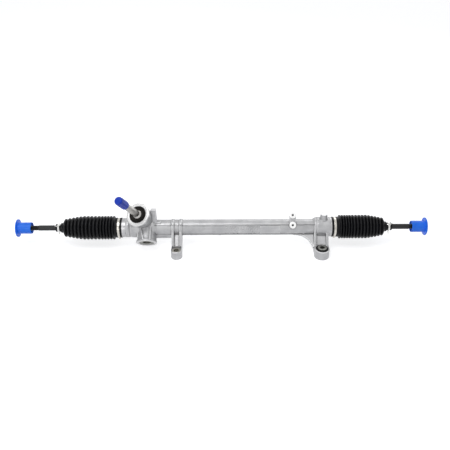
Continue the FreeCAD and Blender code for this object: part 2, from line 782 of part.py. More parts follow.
# The gaps between the teeth reach one contact length past each end of the travel.
contact = 11.0
gaps_left = math.ceil((value("Sizes.steering_stroke / 2 + Sizes.rack_shift") + contact)
                      / value(TOOTH_PITCH))
gaps_right = math.ceil((value("Sizes.steering_stroke / 2 - Sizes.rack_shift") + contact)
                       / value(TOOTH_PITCH))
FLAT_LEFT = f"(-{gaps_left + 1} * {TOOTH_PITCH})"
FLAT_RIGHT = f"({gaps_right + 1} * {TOOTH_PITCH})"
flat = new_sketch(rack, "toothed_flat_profile", "XY_Plane")
outline(
    flat,
    [
        (FLAT_LEFT, cell("rack_tooth_top")),
        (FLAT_RIGHT, cell("rack_tooth_top")),
        (FLAT_RIGHT, "Sizes.rack_radius + 1"),
        (FLAT_LEFT, "Sizes.rack_radius + 1"),
    ],
)
pocket(rack, "toothed_flat", flat, "Sizes.rack_radius * 3", both_ways=True)
ROOT_LINE = (
    f"({RACK_LINE} - Sizes.gear_module * Sizes.addendum_share - Sizes.root_clearance)"
)
FLANK = "tan(Sizes.pressure_angle)"
TOP_HALF = (
    f"({TOOTH_PITCH} / 4 + (Sizes.rack_tooth_top + 1 - {RACK_LINE}) * {FLANK})"
)
ROOT_HALF = f"({TOOTH_PITCH} / 4 - ({RACK_LINE} - {ROOT_LINE}) * {FLANK})"
FIRST_GAP = f"(-{gaps_left} * {TOOTH_PITCH})"
gap = new_sketch(rack, "tooth_gap_profile", "XY_Plane")
outline(
    gap,
    [
        (f"{FIRST_GAP} - {ROOT_HALF}", ROOT_LINE),
        (f"{FIRST_GAP} + {ROOT_HALF}", ROOT_LINE),
        (f"{FIRST_GAP} + {TOP_HALF}", "Sizes.rack_tooth_top + 1"),
        (f"{FIRST_GAP} - {TOP_HALF}", "Sizes.rack_tooth_top + 1"),
    ],
)
gap_cut = pocket(rack, "tooth_gap", gap, "Sizes.rack_radius * 3", both_ways=True)
teeth = rack.newObject("PartDesign::LinearPattern", "rack_teeth")
teeth.Originals = [gap_cut]
rack_axes = {item.Role: item for item in rack.Origin.OriginFeatures}
teeth.Direction = (rack_axes["X_Axis"], [""])
teeth.setExpression("Length", f"{gaps_left + gaps_right} * {TOOTH_PITCH}")
teeth.Occurrences = gaps_left + gaps_right + 1
rack.Tip = teeth
doc.recompute()

# Rack bush pressed into the right end of the tube.
rack_bush = new_body("rack_bush", along_right("Sizes.rack_bush_start"))
turn_profile(
    rack_bush,
    "bush",
    ring_points("Sizes.rack_radius + Sizes.fit_gap", "Sizes.tube_bore_radius - Sizes.fit_gap",
                "0", cell("rack_bush_length")),
)


# Pinion shaft: helical teeth between turned journals, about its own Z axis.
def involute_angle(radius, base):
    if radius <= base:
        return 0.0
    pressure = math.acos(base / radius)
    return math.tan(pressure) - pressure


def tooth_section(turn, height):
    """Closed wire of the toothed outline at one height, turned by an angle."""
    teeth_count = int(value("Sizes.pinion_teeth"))
    pitch_radius = value(PITCH_RADIUS)
    lean = math.radians(value("Sizes.tower_lean"))
    normal = math.radians(value("Sizes.pressure_angle"))
    across = math.atan(math.tan(normal) / math.cos(lean))
    base = pitch_radius * math.cos(across)
    root, tip = value(ROOT_RADIUS), value(TIP_RADIUS)
    module = value("Sizes.gear_module")
    shift = value("Sizes.profile_shift")
    width = (math.pi * module / 2 + 2 * shift * math.tan(normal)) / math.cos(lean)
    width -= value("Sizes.tooth_backlash")
    half = width / 2 / pitch_radius + involute_angle(pitch_radius, base)
    steps = 4
    start = max(root, base)
    radii = [start + (tip - start) * step / steps for step in range(steps + 1)]
    flank = [(radius, half - involute_angle(radius, base)) for radius in radii]
    if root < base:
        flank.insert(0, (root, half))
    points = []
    for tooth in range(teeth_count):
        middle = turn - math.pi / 2 + tooth * 2 * math.pi / teeth_count
        side = [(radius, middle - angle) for radius, angle in flank]
        side += [(radius, middle + angle) for radius, angle in reversed(flank)]
        for radius, angle in side:
            points.append(Vector(radius * math.cos(angle), radius * math.sin(angle), height))
    return Part.makePolygon(points + points[:1])


def toothed_length():
    half = value("Sizes.gear_half_width")
    rate = math.tan(math.radians(value("Sizes.tower_lean"))) / value(PITCH_RADIUS)
    layers = 8
    wires = []
    for layer in range(layers + 1):
        height = -half + 2 * half * layer / layers
        wires.append(tooth_section(height * rate, height))
    return Part.makeLoft(wires, True, True)


def turned(points):
    """Solid of revolution about Z from a list of radius and height pairs."""
    places = [Vector(value(radius), 0, value(height)) for radius, height in points]
    face = Part.Face(Part.makePolygon(places + places[:1]))
    return face.revolve(Vector(0, 0, 0), Vector(0, 0, 1), 360)


GEAR_HALF = cell("gear_half_width")
SPLINE_START = "(Sizes.shaft_end - Sizes.spline_length)"
lower_end = turned([
    ("0", f"{BUSH_LOW} + 1"),
    ("Sizes.lower_journal_radius - 1", f"{BUSH_LOW} + 1"),
    ("Sizes.lower_journal_radius", f"{BUSH_LOW} + 2"),
    ("Sizes.lower_journal_radius", f"-{GEAR_HALF} - 1"),
    ("Sizes.lower_journal_radius - 1", f"-{GEAR_HALF}"),
    ("0", f"-{GEAR_HALF}"),
])
upper_end = turned([
    ("0", GEAR_HALF),
    (ROOT_RADIUS, GEAR_HALF),
    ("Sizes.pinion_neck_radius", f"{GEAR_HALF} + 2"),
    ("Sizes.pinion_neck_radius", "Sizes.bearing_start - 2"),
    ("Sizes.bearing_bore_radius + Sizes.race_wall / 2", "Sizes.bearing_start - 2"),
    ("Sizes.bearing_bore_radius + Sizes.race_wall / 2", cell("bearing_start")),
    ("Sizes.bearing_bore_radius", cell("bearing_start")),
    ("Sizes.bearing_bore_radius", BEARING_TOP),
    ("Sizes.seal_journal_radius", f"{RING_TOP} + 1"),
    ("Sizes.seal_journal_radius", cell("seal_journal_end")),
    ("Sizes.shaft_radius", "Sizes.seal_journal_end + Sizes.shaft_taper"),
    ("Sizes.shaft_radius", "Sizes.clinch_place - Sizes.clinch_width / 2"),
    ("Sizes.clinch_radius", "Sizes.clinch_place - Sizes.clinch_width / 4"),
    ("Sizes.clinch_radius", "Sizes.clinch_place + Sizes.clinch_width / 4"),
    ("Sizes.shaft_radius", "Sizes.clinch_place + Sizes.clinch_width / 2"),
    ("Sizes.shaft_radius", "Sizes.shaft_end - 1"),
    ("Sizes.shaft_radius - 1", cell("shaft_end")),
    ("0", cell("shaft_end")),
])


def spline_gaps():
    """Serration gaps round the upper end of the shaft."""
    outer = value("Sizes.shaft_radius")
    inner = outer - value("Sizes.spline_depth")
    count = int(value("Sizes.spline_count"))
    half = math.pi / count * 0.8
    low, length = value(SPLINE_START), value("Sizes.spline_length") + 1
    reach = outer + value("Sizes.spline_depth")
    gaps = []
    for number in range(count):
        angle = number * 2 * math.pi / count
        corners = [
            Vector(inner * math.cos(angle), inner * math.sin(angle), low),
            Vector(reach * math.cos(angle + half), reach * math.sin(angle + half), low),
            Vector(reach * math.cos(angle - half), reach * math.sin(angle - half), low),
        ]
        face = Part.Face(Part.makePolygon(corners + corners[:1]))
        gaps.append(face.extrude(Vector(0, 0, length)))
    return Part.makeCompound(gaps)


pinion = doc.addObject("Part::Feature", "pinion_shaft")
pinion.Label = "pinion_shaft"
pinion.Shape = lower_end.fuse([toothed_length(), upper_end]).cut(spline_gaps())
pinion.setExpression("Placement", PINION_FRAME)
pieces.append(pinion)

# Bearings of the pinion.
lower_bush = new_body("pinion_lower_bush", PINION_FRAME)
turn_profile(
    lower_bush,
    "bush",
    ring_points("Sizes.lower_journal_radius + Sizes.fit_gap", BUSH_RADIUS, BUSH_LOW,
                f"{BUSH_LOW} + Sizes.lower_bush_length"),
)
outer_race = new_body("pinion_bearing_outer_race", PINION_FRAME)
turn_profile(
    outer_race,
    "race",
    ring_points("Sizes.bearing_outer_radius - Sizes.race_wall", cell("bearing_outer_radius"),
                cell("bearing_start"), BEARING_TOP),
)
inner_race = new_body("pinion_bearing_inner_race", PINION_FRAME)
turn_profile(
    inner_race,
    "race",
    ring_points("Sizes.bearing_bore_radius + Sizes.fit_gap",
                "Sizes.bearing_bore_radius + Sizes.race_wall", cell("bearing_start"),
                BEARING_TOP),
)
retaining_ring = new_body("pinion_retaining_ring", PINION_FRAME)
turn_profile(
    retaining_ring,
    "ring",
    ring_points(f"{BEARING_SEAT} - Sizes.ring_wall", f"{BEARING_SEAT} + Sizes.ring_reach"
                " - Sizes.fit_gap", BEARING_TOP, RING_TOP),
)

# Dust seal round the pinion, with a lip that stands on the shaft.
seal = new_body("pinion_dust_seal", PINION_FRAME)
SEAL_TOP = "(Sizes.tower_height - Sizes.seal_recess)"
SEAL_BORE = "(Sizes.seal_journal_radius + Sizes.fit_gap)"
turn_profile(
    seal,
    "seal",
    [
        (SEAL_BORE, f"{SEAL_TOP} - Sizes.seal_lip * 2"),
        (f"{SEAL_BORE} + Sizes.seal_lip", cell("seal_start")),
        (cell("seal_radius"), cell("seal_start")),
        (cell("seal_radius"), SEAL_TOP),
        ("Sizes.seal_radius - Sizes.seal_lip", SEAL_TOP),
        ("Sizes.seal_radius - Sizes.seal_lip * 2", f"{SEAL_TOP} - Sizes.seal_lip"),
        (f"{SEAL_BORE} + Sizes.seal_lip", f"{SEAL_TOP} - Sizes.seal_lip"),
        (f"{SEAL_BORE} + Sizes.seal_lip / 2", f"{SEAL_TOP} + Sizes.seal_lip"),
        (SEAL_BORE, f"{SEAL_TOP} + Sizes.seal_lip"),
    ],
)

# Pull-off cap on the pinion's splines.
pinion_cap = new_body("pinion_spline_cap", PINION_FRAME)
CAP_END = "(Sizes.shaft_end + Sizes.seat_gap + Sizes.pinion_cap_end_wall)"
CAP_BORE = "(Sizes.pinion_cap_radius - Sizes.pinion_cap_wall)"
turn_profile(
    pinion_cap,
    "cup",
    [
        (CAP_BORE, cell("pinion_cap_start")),
        (cell("pinion_cap_radius"), cell("pinion_cap_start")),
        (cell("pinion_cap_radius"), f"{CAP_END} - Sizes.pinion_cap_round"),
        ("Sizes.pinion_cap_radius - Sizes.pinion_cap_round / 4",
         f"{CAP_END} - Sizes.pinion_cap_round / 2"),
        ("Sizes.pinion_cap_radius - Sizes.pinion_cap_round", CAP_END),
        ("0", CAP_END),
        ("0", f"{CAP_END} - Sizes.pinion_cap_end_wall"),
        (CAP_BORE, f"{CAP_END} - Sizes.pinion_cap_end_wall"),
    ],
)
rib_plane = (
    "placement(vector(0; 0; Sizes.pinion_cap_start + Sizes.pinion_cap_round);"
    " rotation(vector(0; 0; 1); 0))"
)
rib = new_sketch(pinion_cap, "rib_profile", "XY_Plane", rib_plane)
outline(
    rib,
    [
        (CAP_BORE + " + Sizes.fit_gap", "-Sizes.pinion_cap_rib_width / 2"),
        ("Sizes.pinion_cap_radius + Sizes.pinion_cap_rib_height",
         "-Sizes.pinion_cap_rib_width / 2"),
        ("Sizes.pinion_cap_radius + Sizes.pinion_cap_rib_height",
         "Sizes.pinion_cap_rib_width / 2"),
        (CAP_BORE + " + Sizes.fit_gap", "Sizes.pinion_cap_rib_width / 2"),
    ],
)
rib_pad = pad(
    pinion_cap, "rib", rib,
    f"{CAP_END} - Sizes.pinion_cap_round * 2 - Sizes.pinion_cap_start",
)
polar_pattern(pinion_cap, "ribs", rib_pad, cell("pinion_cap_ribs"))

# Yoke, its liner, disc springs and adjuster plug, along the yoke axis.
yoke = new_body("rack_yoke", YOKE_FRAME)
turn_profile(
    yoke,
    "slug",
    [
        ("0", cell("yoke_start")),
        (cell("yoke_radius"), cell("yoke_start")),
        (cell("yoke_radius"), cell("yoke_end")),
        (cell("yoke_pocket_radius"), cell("yoke_end")),
        (cell("yoke_pocket_radius"), f"Sizes.plug_start - {DISC_PAIR}"),
        ("0", f"Sizes.plug_start - {DISC_PAIR}"),
    ],
)
saddle = new_sketch(yoke, "saddle_profile", "YZ_Plane")
disc(saddle, "0", "0", "Sizes.rack_radius + Sizes.fit_gap + Sizes.liner_wall")
pocket(yoke, "saddle", saddle, "Sizes.yoke_radius * 3", both_ways=True)
liner = new_body("yoke_liner", YOKE_FRAME)
liner_turn = "placement(vector(0; 0; 0); rotation(vector(1; 0; 0); 90))"
liner_sketch = new_sketch(liner, "liner_profile", "XY_Plane", liner_turn)
LINER_IN = "(Sizes.rack_radius + Sizes.fit_gap)"
outline(
    liner_sketch,
    [
        ("-Sizes.liner_length / 2", LINER_IN),
        ("Sizes.liner_length / 2", LINER_IN),
        ("Sizes.liner_length / 2", f"{LINER_IN} + Sizes.liner_wall"),
        ("-Sizes.liner_length / 2", f"{LINER_IN} + Sizes.liner_wall"),
    ],
)
liner_turned = liner.newObject("PartDesign::Revolution", "liner")
liner_turned.Profile = liner_sketch
liner_turned.ReferenceAxis = (liner_sketch, ["H_Axis"])
liner_turned.Midplane = True
liner_turned.setExpression("Angle", cell("liner_arc"))
doc.recompute()
for name, low, flip in (
    ("yoke_lower_disc_spring", f"(Sizes.plug_start - {DISC_PAIR})", False),
    ("yoke_upper_disc_spring", f"(Sizes.plug_start - {DISC_PAIR} / 2)", True),
):
    spring = new_body(name, YOKE_FRAME)
    spring_outer = "(Sizes.yoke_pocket_radius - Sizes.seat_gap)"
    rise = cell("disc_spring_rise")
    inner_low = f"{low} + {rise}" if flip else low
    outer_low = low if flip else f"{low} + {rise}"
    turn_profile(
        spring,
        "disc",
        [
            (cell("disc_spring_inner"), inner_low),
            (spring_outer, outer_low),
            (spring_outer, f"{outer_low} + Sizes.disc_spring_wall"),
            (cell("disc_spring_inner"), f"{inner_low} + Sizes.disc_spring_wall"),
        ],
    )
plug = new_body("yoke_adjuster_plug", YOKE_FRAME)
turn_profile(
    plug,
    "plug",
    [
        ("0", cell("plug_start")),
        (cell("plug_radius"), cell("plug_start")),
        (cell("plug_radius"), PLUG_END),
        ("0", PLUG_END),
    ],
)
socket_plane = f"placement(vector(0; 0; {PLUG_END}); rotation(vector(0; 0; 1); 0))"
hexagon = new_sketch(plug, "socket_profile", "XY_Plane", socket_plane)
outline(
    hexagon,
    [
        (f"Sizes.plug_socket_width / sqrt(3) * cos({60 * corner})",
         f"Sizes.plug_socket_width / sqrt(3) * sin({60 * corner})")
        for corner in range(6)
    ],
)
pocket(plug, "hexagon", hexagon, cell("plug_socket_depth"))

# Bush of the right mount.
BUSH_PLACE = "placement(vector(Sizes.mount_spacing; 0; 0); rotation(vector(0; 0; 1); 0))"
bush_rubber = new_body("mount_bush_rubber", BUSH_PLACE)
turn_profile(
    bush_rubber,
    "rubber",
    [
        ("Sizes.bush_sleeve_radius + Sizes.fit_gap", "Sizes.bush_proud"),
        ("Sizes.bush_radius - Sizes.bush_proud", "Sizes.bush_proud"),
        (cell("bush_radius"), "Sizes.bush_proud * 2"),
        (cell("bush_radius"), cell("right_boss_height")),
        ("Sizes.bush_radius - Sizes.bush_proud",
         "Sizes.right_boss_height + Sizes.bush_proud - Sizes.fit_gap"),
        ("Sizes.bush_sleeve_radius + Sizes.fit_gap",
         "Sizes.right_boss_height + Sizes.bush_proud - Sizes.fit_gap"),
    ],
)
bush_sleeve = new_body("mount_bush_sleeve", BUSH_PLACE)
SLEEVE_TOP = "(Sizes.right_boss_height + Sizes.bush_proud + Sizes.bush_flange_wall)"
turn_profile(
    bush_sleeve,
    "sleeve",
    [
        (cell("bush_bore_radius"), "0"),
        (cell("bush_sleeve_radius"), "0"),
        (cell("bush_sleeve_radius"), "Sizes.right_boss_height + Sizes.bush_proud"),
        (cell("bush_flange_radius"), "Sizes.right_boss_height + Sizes.bush_proud"),
        (cell("bush_flange_radius"), SLEEVE_TOP),
        (cell("bush_bore_radius"), SLEEVE_TOP),
    ],
)


# Everything that hangs on one end of the rack. Each piece is turned about its own Z axis,
# which points away from the housing.
def end_of_rack(side, along, ball_place, end_place, ridge_span, cap_mouth):
    """Inner ball joint, tie rod, boot, clamps and cap on one side."""

    def turned_about(place, sign, angle):
        """Frame along the rack, turned about its own Z axis."""
        spin = f"placement(vector(0; 0; 0); rotation(vector(0; 0; 1); {sign}{angle}))"
        return f"{along(place)} * {spin}"

    sign = "-" if side == "left" else ""
    socket = new_body(f"{side}_ball_socket", along(ball_place))
    stud = "Sizes.rack_thread_radius - Sizes.fit_gap"
    face = "(-Sizes.socket_reach)"
    washer_top = f"({face} + Sizes.lock_washer_wall)"
    cavity = f"({SEAT_RADIUS} + Sizes.fit_gap)"
    turn_profile(
        socket,
        "cup",
        [
            ("0", f"{face} - Sizes.rack_thread_depth + 2"),
            (stud, f"{face} - Sizes.rack_thread_depth + 2"),
            (stud, washer_top),
            ("Sizes.socket_radius - 1", washer_top),
            (cell("socket_radius"), f"{washer_top} + 1"),
            (cell("socket_radius"), "Sizes.socket_lip / 3"),
            ("Sizes.socket_radius - Sizes.socket_lip / 4", cell("socket_lip")),
            ("0", cell("socket_lip")),
        ],
    )
    sphere(socket, "seat_room", cavity, cut=True)
    mouth = "Sizes.socket_mouth_radius"
    turn_profile(
        socket,
        "mouth",
        [
            ("0", "0"),
            (mouth, "0"),
            (f"{mouth} + 1", f"{cell('socket_lip')} + 1"),
            ("0", f"{cell('socket_lip')} + 1"),
        ],
        cut=True,
    )
    flats_plane = (
        f"placement(vector(0; 0; {washer_top} + Sizes.lock_washer_wall);"
        " rotation(vector(0; 0; 1); 0))"
    )
    flats = new_sketch(socket, "flats_profile", "XY_Plane", flats_plane)
    for half in ("", "-"):
        low, high = "Sizes.socket_flat_width / 2", "(Sizes.socket_radius + 1)"
        outline(
            flats,
            [
                ("-Sizes.socket_radius - 1", f"{half}{low}"),
                ("Sizes.socket_radius + 1", f"{half}{low}"),
                ("Sizes.socket_radius + 1", f"{half}{high}"),
                ("-Sizes.socket_radius - 1", f"{half}{high}"),
            ],
        )
    pocket(socket, "flats", flats, cell("socket_flat_length"), reverse=True)

    washer = new_body(f"{side}_lock_washer", along(ball_place))
    turn_profile(
        washer,
        "washer",
        ring_points("Sizes.rack_thread_radius + Sizes.fit_gap", cell("socket_radius"), face,
                    washer_top),
    )

    seat = new_body(f"{side}_ball_seat", along(ball_place))
    sphere(seat, "outer", SEAT_RADIUS)
    sphere(seat, "inner", "Sizes.ball_radius + Sizes.fit_gap", cut=True)
    turn_profile(
        seat,
        "mouth",
        [
                ("0", "Sizes.ball_radius / 3"),
            (f"{SEAT_RADIUS} + 1", f"Sizes.ball_radius / 3"),
            (f"{SEAT_RADIUS} + 1", f"{SEAT_RADIUS} + 1"),
            ("0", f"{SEAT_RADIUS} + 1"),
        ],
        cut=True,
    )
    turn_profile(
        seat,
        "grease_hole",
        [
            ("0", f"-{SEAT_RADIUS} - 1"),
            ("Sizes.ball_radius / 3", f"-{SEAT_RADIUS} - 1"),
            ("Sizes.ball_radius / 3", "0"),
            ("0", "0"),
        ],
        cut=True,
    )

    rod = new_body(f"{side}_tie_rod", along(ball_place))
    sphere(rod, "ball", cell("ball_radius"))
    thread_start = "(Sizes.rod_length - Sizes.rod_thread_length)"
    step = "(Sizes.rod_boot_radius - Sizes.rod_radius)"
    turn_profile(
        rod,
        "rod",
        [
            ("0", "0"),
            (cell("rod_neck_radius"), "0"),
            (cell("rod_neck_radius"), "Sizes.ball_radius * 2"),
            (cell("rod_boot_radius"), "Sizes.ball_radius * 3"),
            (cell("rod_boot_radius"), f"Sizes.rod_boot_end - {step} * 2"),
            (cell("rod_radius"), cell("rod_boot_end")),
            (cell("rod_radius"), f"{thread_start} - 1"),
            (cell("rod_thread_radius"), thread_start),
            (cell("rod_thread_radius"), "Sizes.rod_length - 1.5"),
            ("Sizes.rod_thread_radius - 1.5", cell("rod_length")),
            ("0", cell("rod_length")),
        ],
    )

    # The boot's own Z starts at the housing shoulder.
    boot = new_body(f"{side}_boot", along(end_place))
    ridges = int(value("Sizes.boot_ridges"))
    small = f"({ridge_span} - Sizes.boot_step_length)"
    first = "(Sizes.boot_collar_length + Sizes.boot_ridge_depth / 2)"
    close = int(value("Sizes.boot_close_ridges"))
    full = int(value("Sizes.boot_full_ridges"))
    flat = value("Sizes.boot_ridge_flat") / 2
    pitch = (
        f"(({small} - {first}) / (Sizes.boot_ridges"
        " - Sizes.boot_close_ridges * (1 - Sizes.boot_close_share)))"
    )

    def ridge_place(number):
        """Height of a point of the ridges, counted in ridges from the collar."""
        near = min(number, close)
        return f"({first} + {pitch} * ({near:.2f} * Sizes.boot_close_share + {number - near:.2f}))"

    band_low = "(Sizes.boot_collar_length / 2 - Sizes.boot_band_width / 2)"
    band_radius = "(Sizes.boot_collar_radius - Sizes.boot_band_depth)"
    boot_bore = "(Sizes.boot_spigot_radius + Sizes.fit_gap)"
    neck_end = f"({ridge_span} + Sizes.boot_neck_length)"
    points = [
        (boot_bore, cell("seat_gap")),
        (cell("boot_collar_radius"), cell("seat_gap")),
        (cell("boot_collar_radius"), band_low),
        (band_radius, band_low),
        (band_radius, f"{band_low} + Sizes.boot_band_width"),
        (cell("boot_collar_radius"), f"{band_low} + Sizes.boot_band_width"),
        (cell("boot_collar_radius"), cell("boot_collar_length")),
    ]
    for number in range(ridges):
        share = max(0.0, (number - full) / (ridges - full))
        top = (
            "(Sizes.boot_big_radius - (Sizes.boot_big_radius - Sizes.boot_small_radius)"
            f" * {share:.4f})"
        )
        points.append((top, ridge_place(number + 0.5 - flat)))
        points.append((top, ridge_place(number + 0.5 + flat)))
        if number < ridges - 1:
            points.append((f"{top} - Sizes.boot_ridge_depth", ridge_place(number + 1)))
    points += [
        (cell("boot_step_radius"), f"{small} + Sizes.boot_ridge_depth / 2"),
        (cell("boot_step_radius"), f"{ridge_span} - 1"),
        (cell("boot_neck_radius"), ridge_span),
        (cell("boot_neck_radius"), neck_end),
        ("Sizes.rod_boot_radius + Sizes.fit_gap", neck_end),
        ("Sizes.rod_boot_radius + Sizes.fit_gap", ridge_span),
        ("Sizes.boot_step_radius - Sizes.boot_wall", f"{ridge_span} - Sizes.boot_wall - 1"),
        ("Sizes.boot_step_radius - Sizes.boot_wall", small),
        ("Sizes.boot_small_radius - Sizes.boot_ridge_depth - Sizes.boot_wall",
         f"{small} - {pitch}"),
        ("Sizes.boot_big_radius - Sizes.boot_ridge_depth - Sizes.boot_wall",
         ridge_place(full)),
        ("Sizes.boot_big_radius - Sizes.boot_ridge_depth - Sizes.boot_wall",
         "Sizes.boot_collar_length + Sizes.boot_wall"),
        (boot_bore, "Sizes.boot_spigot_length + Sizes.seat_gap"),
    ]
    turn_profile(boot, "bellows", points)

    band = new_body(f"{side}_boot_band", turned_about(end_place, sign, cell("band_turn")))
    band_start = "(Sizes.boot_collar_length / 2 - Sizes.band_width / 2)"
    band_in = f"({band_radius} + Sizes.fit_gap)"
    turn_profile(
        band,
        "band",
        ring_points(band_in, f"{band_in} + Sizes.band_wall", band_start,
                    f"{band_start} + Sizes.band_width"),
    )
    ear_plane = (
        f"placement(vector(0; 0; {band_start} + Sizes.band_width / 2);"
        " rotation(vector(0; 0; 1); 0))"
    )
    ear = new_sketch(band, "ear_profile", "XY_Plane", ear_plane)
    outline(
        ear,
        [
            ("-Sizes.band_ear_thick / 2", f"-{band_in} - Sizes.band_wall / 2"),
            ("Sizes.band_ear_thick / 2", f"-{band_in} - Sizes.band_wall / 2"),
            ("Sizes.band_ear_thick / 3", f"-{band_in} - Sizes.band_ear_height"),
            ("-Sizes.band_ear_thick / 3", f"-{band_in} - Sizes.band_ear_height"),
        ],
    )
    pad(band, "ear", ear, cell("band_ear_width"), both_ways=True)

    clip = new_body(f"{side}_boot_clip", turned_about(end_place, sign, cell("clip_turn")))
    clip_start = f"({ridge_span} + Sizes.boot_neck_length / 2 - Sizes.clip_width / 2)"
    clip_in = "(Sizes.boot_neck_radius + Sizes.fit_gap)"
    turn_profile(
        clip,
        "clip",
        ring_points(clip_in, f"{clip_in} + Sizes.clip_wall", clip_start,
                    f"{clip_start} + Sizes.clip_width"),
    )
    clip_plane = (
        f"placement(vector(0; 0; {clip_start} + Sizes.clip_width / 2);"
        " rotation(vector(0; 0; 1); 0))"
    )
    tabs = new_sketch(clip, "ears_profile", "XY_Plane", clip_plane)
    outline(
        tabs,
        [
            ("-Sizes.clip_tail_thick / 2", f"-{clip_in} - Sizes.clip_wall / 4"),
            ("Sizes.clip_tail_thick / 2", f"-{clip_in} - Sizes.clip_wall / 4"),
            ("Sizes.clip_tail_thick / 2", f"-{clip_in} - Sizes.clip_tail"),
            ("-Sizes.clip_tail_thick / 2", f"-{clip_in} - Sizes.clip_tail"),
        ],
    )
    for half in ("", "-"):
        near, far = f"{half}Sizes.clip_ear_gap / 2", f"{half}Sizes.clip_ear_gap"
        outline(
            tabs,
            [
                (near, f"{clip_in} + Sizes.clip_wall / 4"),
                (f"{near} {'-' if half else '+'} Sizes.clip_ear_thick",
                 f"{clip_in} + Sizes.clip_wall / 4"),
                (f"{far} {'-' if half else '+'} Sizes.clip_ear_thick",
                 f"{clip_in} + Sizes.clip_ear_height"),
                (far, f"{clip_in} + Sizes.clip_ear_height"),
            ],
        )
    pad(clip, "ears", tabs, "Sizes.clip_width * 3 / 5", both_ways=True)

    cap = new_body(f"{side}_thread_cap", along(ball_place))
    cap_inner = "(Sizes.cap_radius - Sizes.cap_wall)"
    cap_end = f"({cap_mouth} + Sizes.cap_length)"
    cap_floor = f"({cap_end} - Sizes.cap_flange_wall)"
    turn_profile(
        cap,
        "cup",
        [
            (cap_inner, cap_mouth),
            (cell("cap_radius"), cap_mouth),
            (cell("cap_radius"), cap_floor),
            (cell("cap_flange_radius"), cap_floor),
            (cell("cap_flange_radius"), cap_end),
            ("0", cap_end),
            ("0", cap_floor),
            (cap_inner, cap_floor),
        ],
    )
    fin_plane = (
        f"placement(vector(0; 0; {cap_mouth} + Sizes.cap_wall);"
        " rotation(vector(0; 0; 1); 0))"
    )
    fin = new_sketch(cap, "fin_profile", "XY_Plane", fin_plane)
    outline(
        fin,
        [
            ("Sizes.rod_thread_radius + Sizes.fit_gap", "-Sizes.cap_fin_wall / 2"),
            (f"{cap_inner} + Sizes.cap_wall / 2", "-Sizes.cap_fin_wall / 2"),
            (f"{cap_inner} + Sizes.cap_wall / 2", "Sizes.cap_fin_wall / 2"),
            ("Sizes.rod_thread_radius + Sizes.fit_gap", "Sizes.cap_fin_wall / 2"),
        ],
    )
    fin_pad = pad(
        cap, "fin", fin,
        "Sizes.cap_length - Sizes.cap_wall - Sizes.cap_flange_wall + Sizes.fit_gap",
    )
    polar_pattern(cap, "fins", fin_pad, cell("cap_fins"))


LEFT_SPAN = f"(-Sizes.housing_left_reach - {BALL_LEFT} + Sizes.boot_small_place)"
RIGHT_SPAN = f"({BALL_RIGHT} - Sizes.housing_right_reach + Sizes.boot_small_place)"
end_of_rack("left", along_left, BALL_LEFT, "(-Sizes.housing_left_reach)", LEFT_SPAN,
            cell("cap_mouth_left"))
end_of_rack("right", along_right, BALL_RIGHT, "Sizes.housing_right_reach", RIGHT_SPAN,
            cell("cap_mouth_right"))

# Check every object before writing the pieces.
doc.recompute()
for item in doc.Objects:
    if "Invalid" in item.State or "Error" in item.State:
        raise RuntimeError(f"{item.Label} did not recompute")
for piece in pieces:
    if piece.Shape.isNull() or not piece.Shape.isValid():
        raise RuntimeError(f"{piece.Label} has no valid shape")

os.makedirs("parts", exist_ok=True)
for piece in pieces:
    piece.Shape.exportStep(f"parts/{piece.Label}.step")
    print(f"{piece.Label}: {len(piece.Shape.Solids)} solid, {piece.Shape.Volume / 1000:.1f} cm3")
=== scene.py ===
"""Dressed steering rack: castings, bellows, clamps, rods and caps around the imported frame."""
import json
import logging
import math
from dataclasses import dataclass, field, replace
from enum import Enum
from functools import cache
from typing import Callable, Iterable, Sequence

import bmesh
import bpy
from mathutils import Matrix, Quaternion, Vector, noise


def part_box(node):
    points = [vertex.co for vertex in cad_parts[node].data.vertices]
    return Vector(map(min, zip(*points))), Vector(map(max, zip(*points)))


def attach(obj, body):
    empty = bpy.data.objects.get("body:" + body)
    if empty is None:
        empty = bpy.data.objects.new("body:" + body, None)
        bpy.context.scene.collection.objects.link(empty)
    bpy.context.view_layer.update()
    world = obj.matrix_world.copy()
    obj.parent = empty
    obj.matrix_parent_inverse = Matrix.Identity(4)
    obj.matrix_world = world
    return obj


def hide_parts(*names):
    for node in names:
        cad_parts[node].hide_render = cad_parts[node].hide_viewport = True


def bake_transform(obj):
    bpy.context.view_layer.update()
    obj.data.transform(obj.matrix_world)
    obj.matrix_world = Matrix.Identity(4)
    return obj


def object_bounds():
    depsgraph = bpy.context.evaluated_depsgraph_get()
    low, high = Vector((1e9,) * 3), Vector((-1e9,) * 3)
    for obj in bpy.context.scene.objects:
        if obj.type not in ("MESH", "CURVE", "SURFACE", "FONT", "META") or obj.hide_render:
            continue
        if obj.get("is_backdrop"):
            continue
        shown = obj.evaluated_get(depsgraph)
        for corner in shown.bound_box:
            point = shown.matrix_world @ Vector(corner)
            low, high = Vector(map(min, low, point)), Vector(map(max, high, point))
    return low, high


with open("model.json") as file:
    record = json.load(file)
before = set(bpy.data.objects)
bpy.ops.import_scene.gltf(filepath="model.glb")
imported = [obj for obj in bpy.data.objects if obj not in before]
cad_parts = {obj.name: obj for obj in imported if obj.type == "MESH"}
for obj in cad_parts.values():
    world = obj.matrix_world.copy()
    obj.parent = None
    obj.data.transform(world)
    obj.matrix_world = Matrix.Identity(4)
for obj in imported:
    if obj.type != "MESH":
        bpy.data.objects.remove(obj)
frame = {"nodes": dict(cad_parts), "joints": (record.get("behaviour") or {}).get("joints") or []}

log = logging.getLogger("steering_rack")

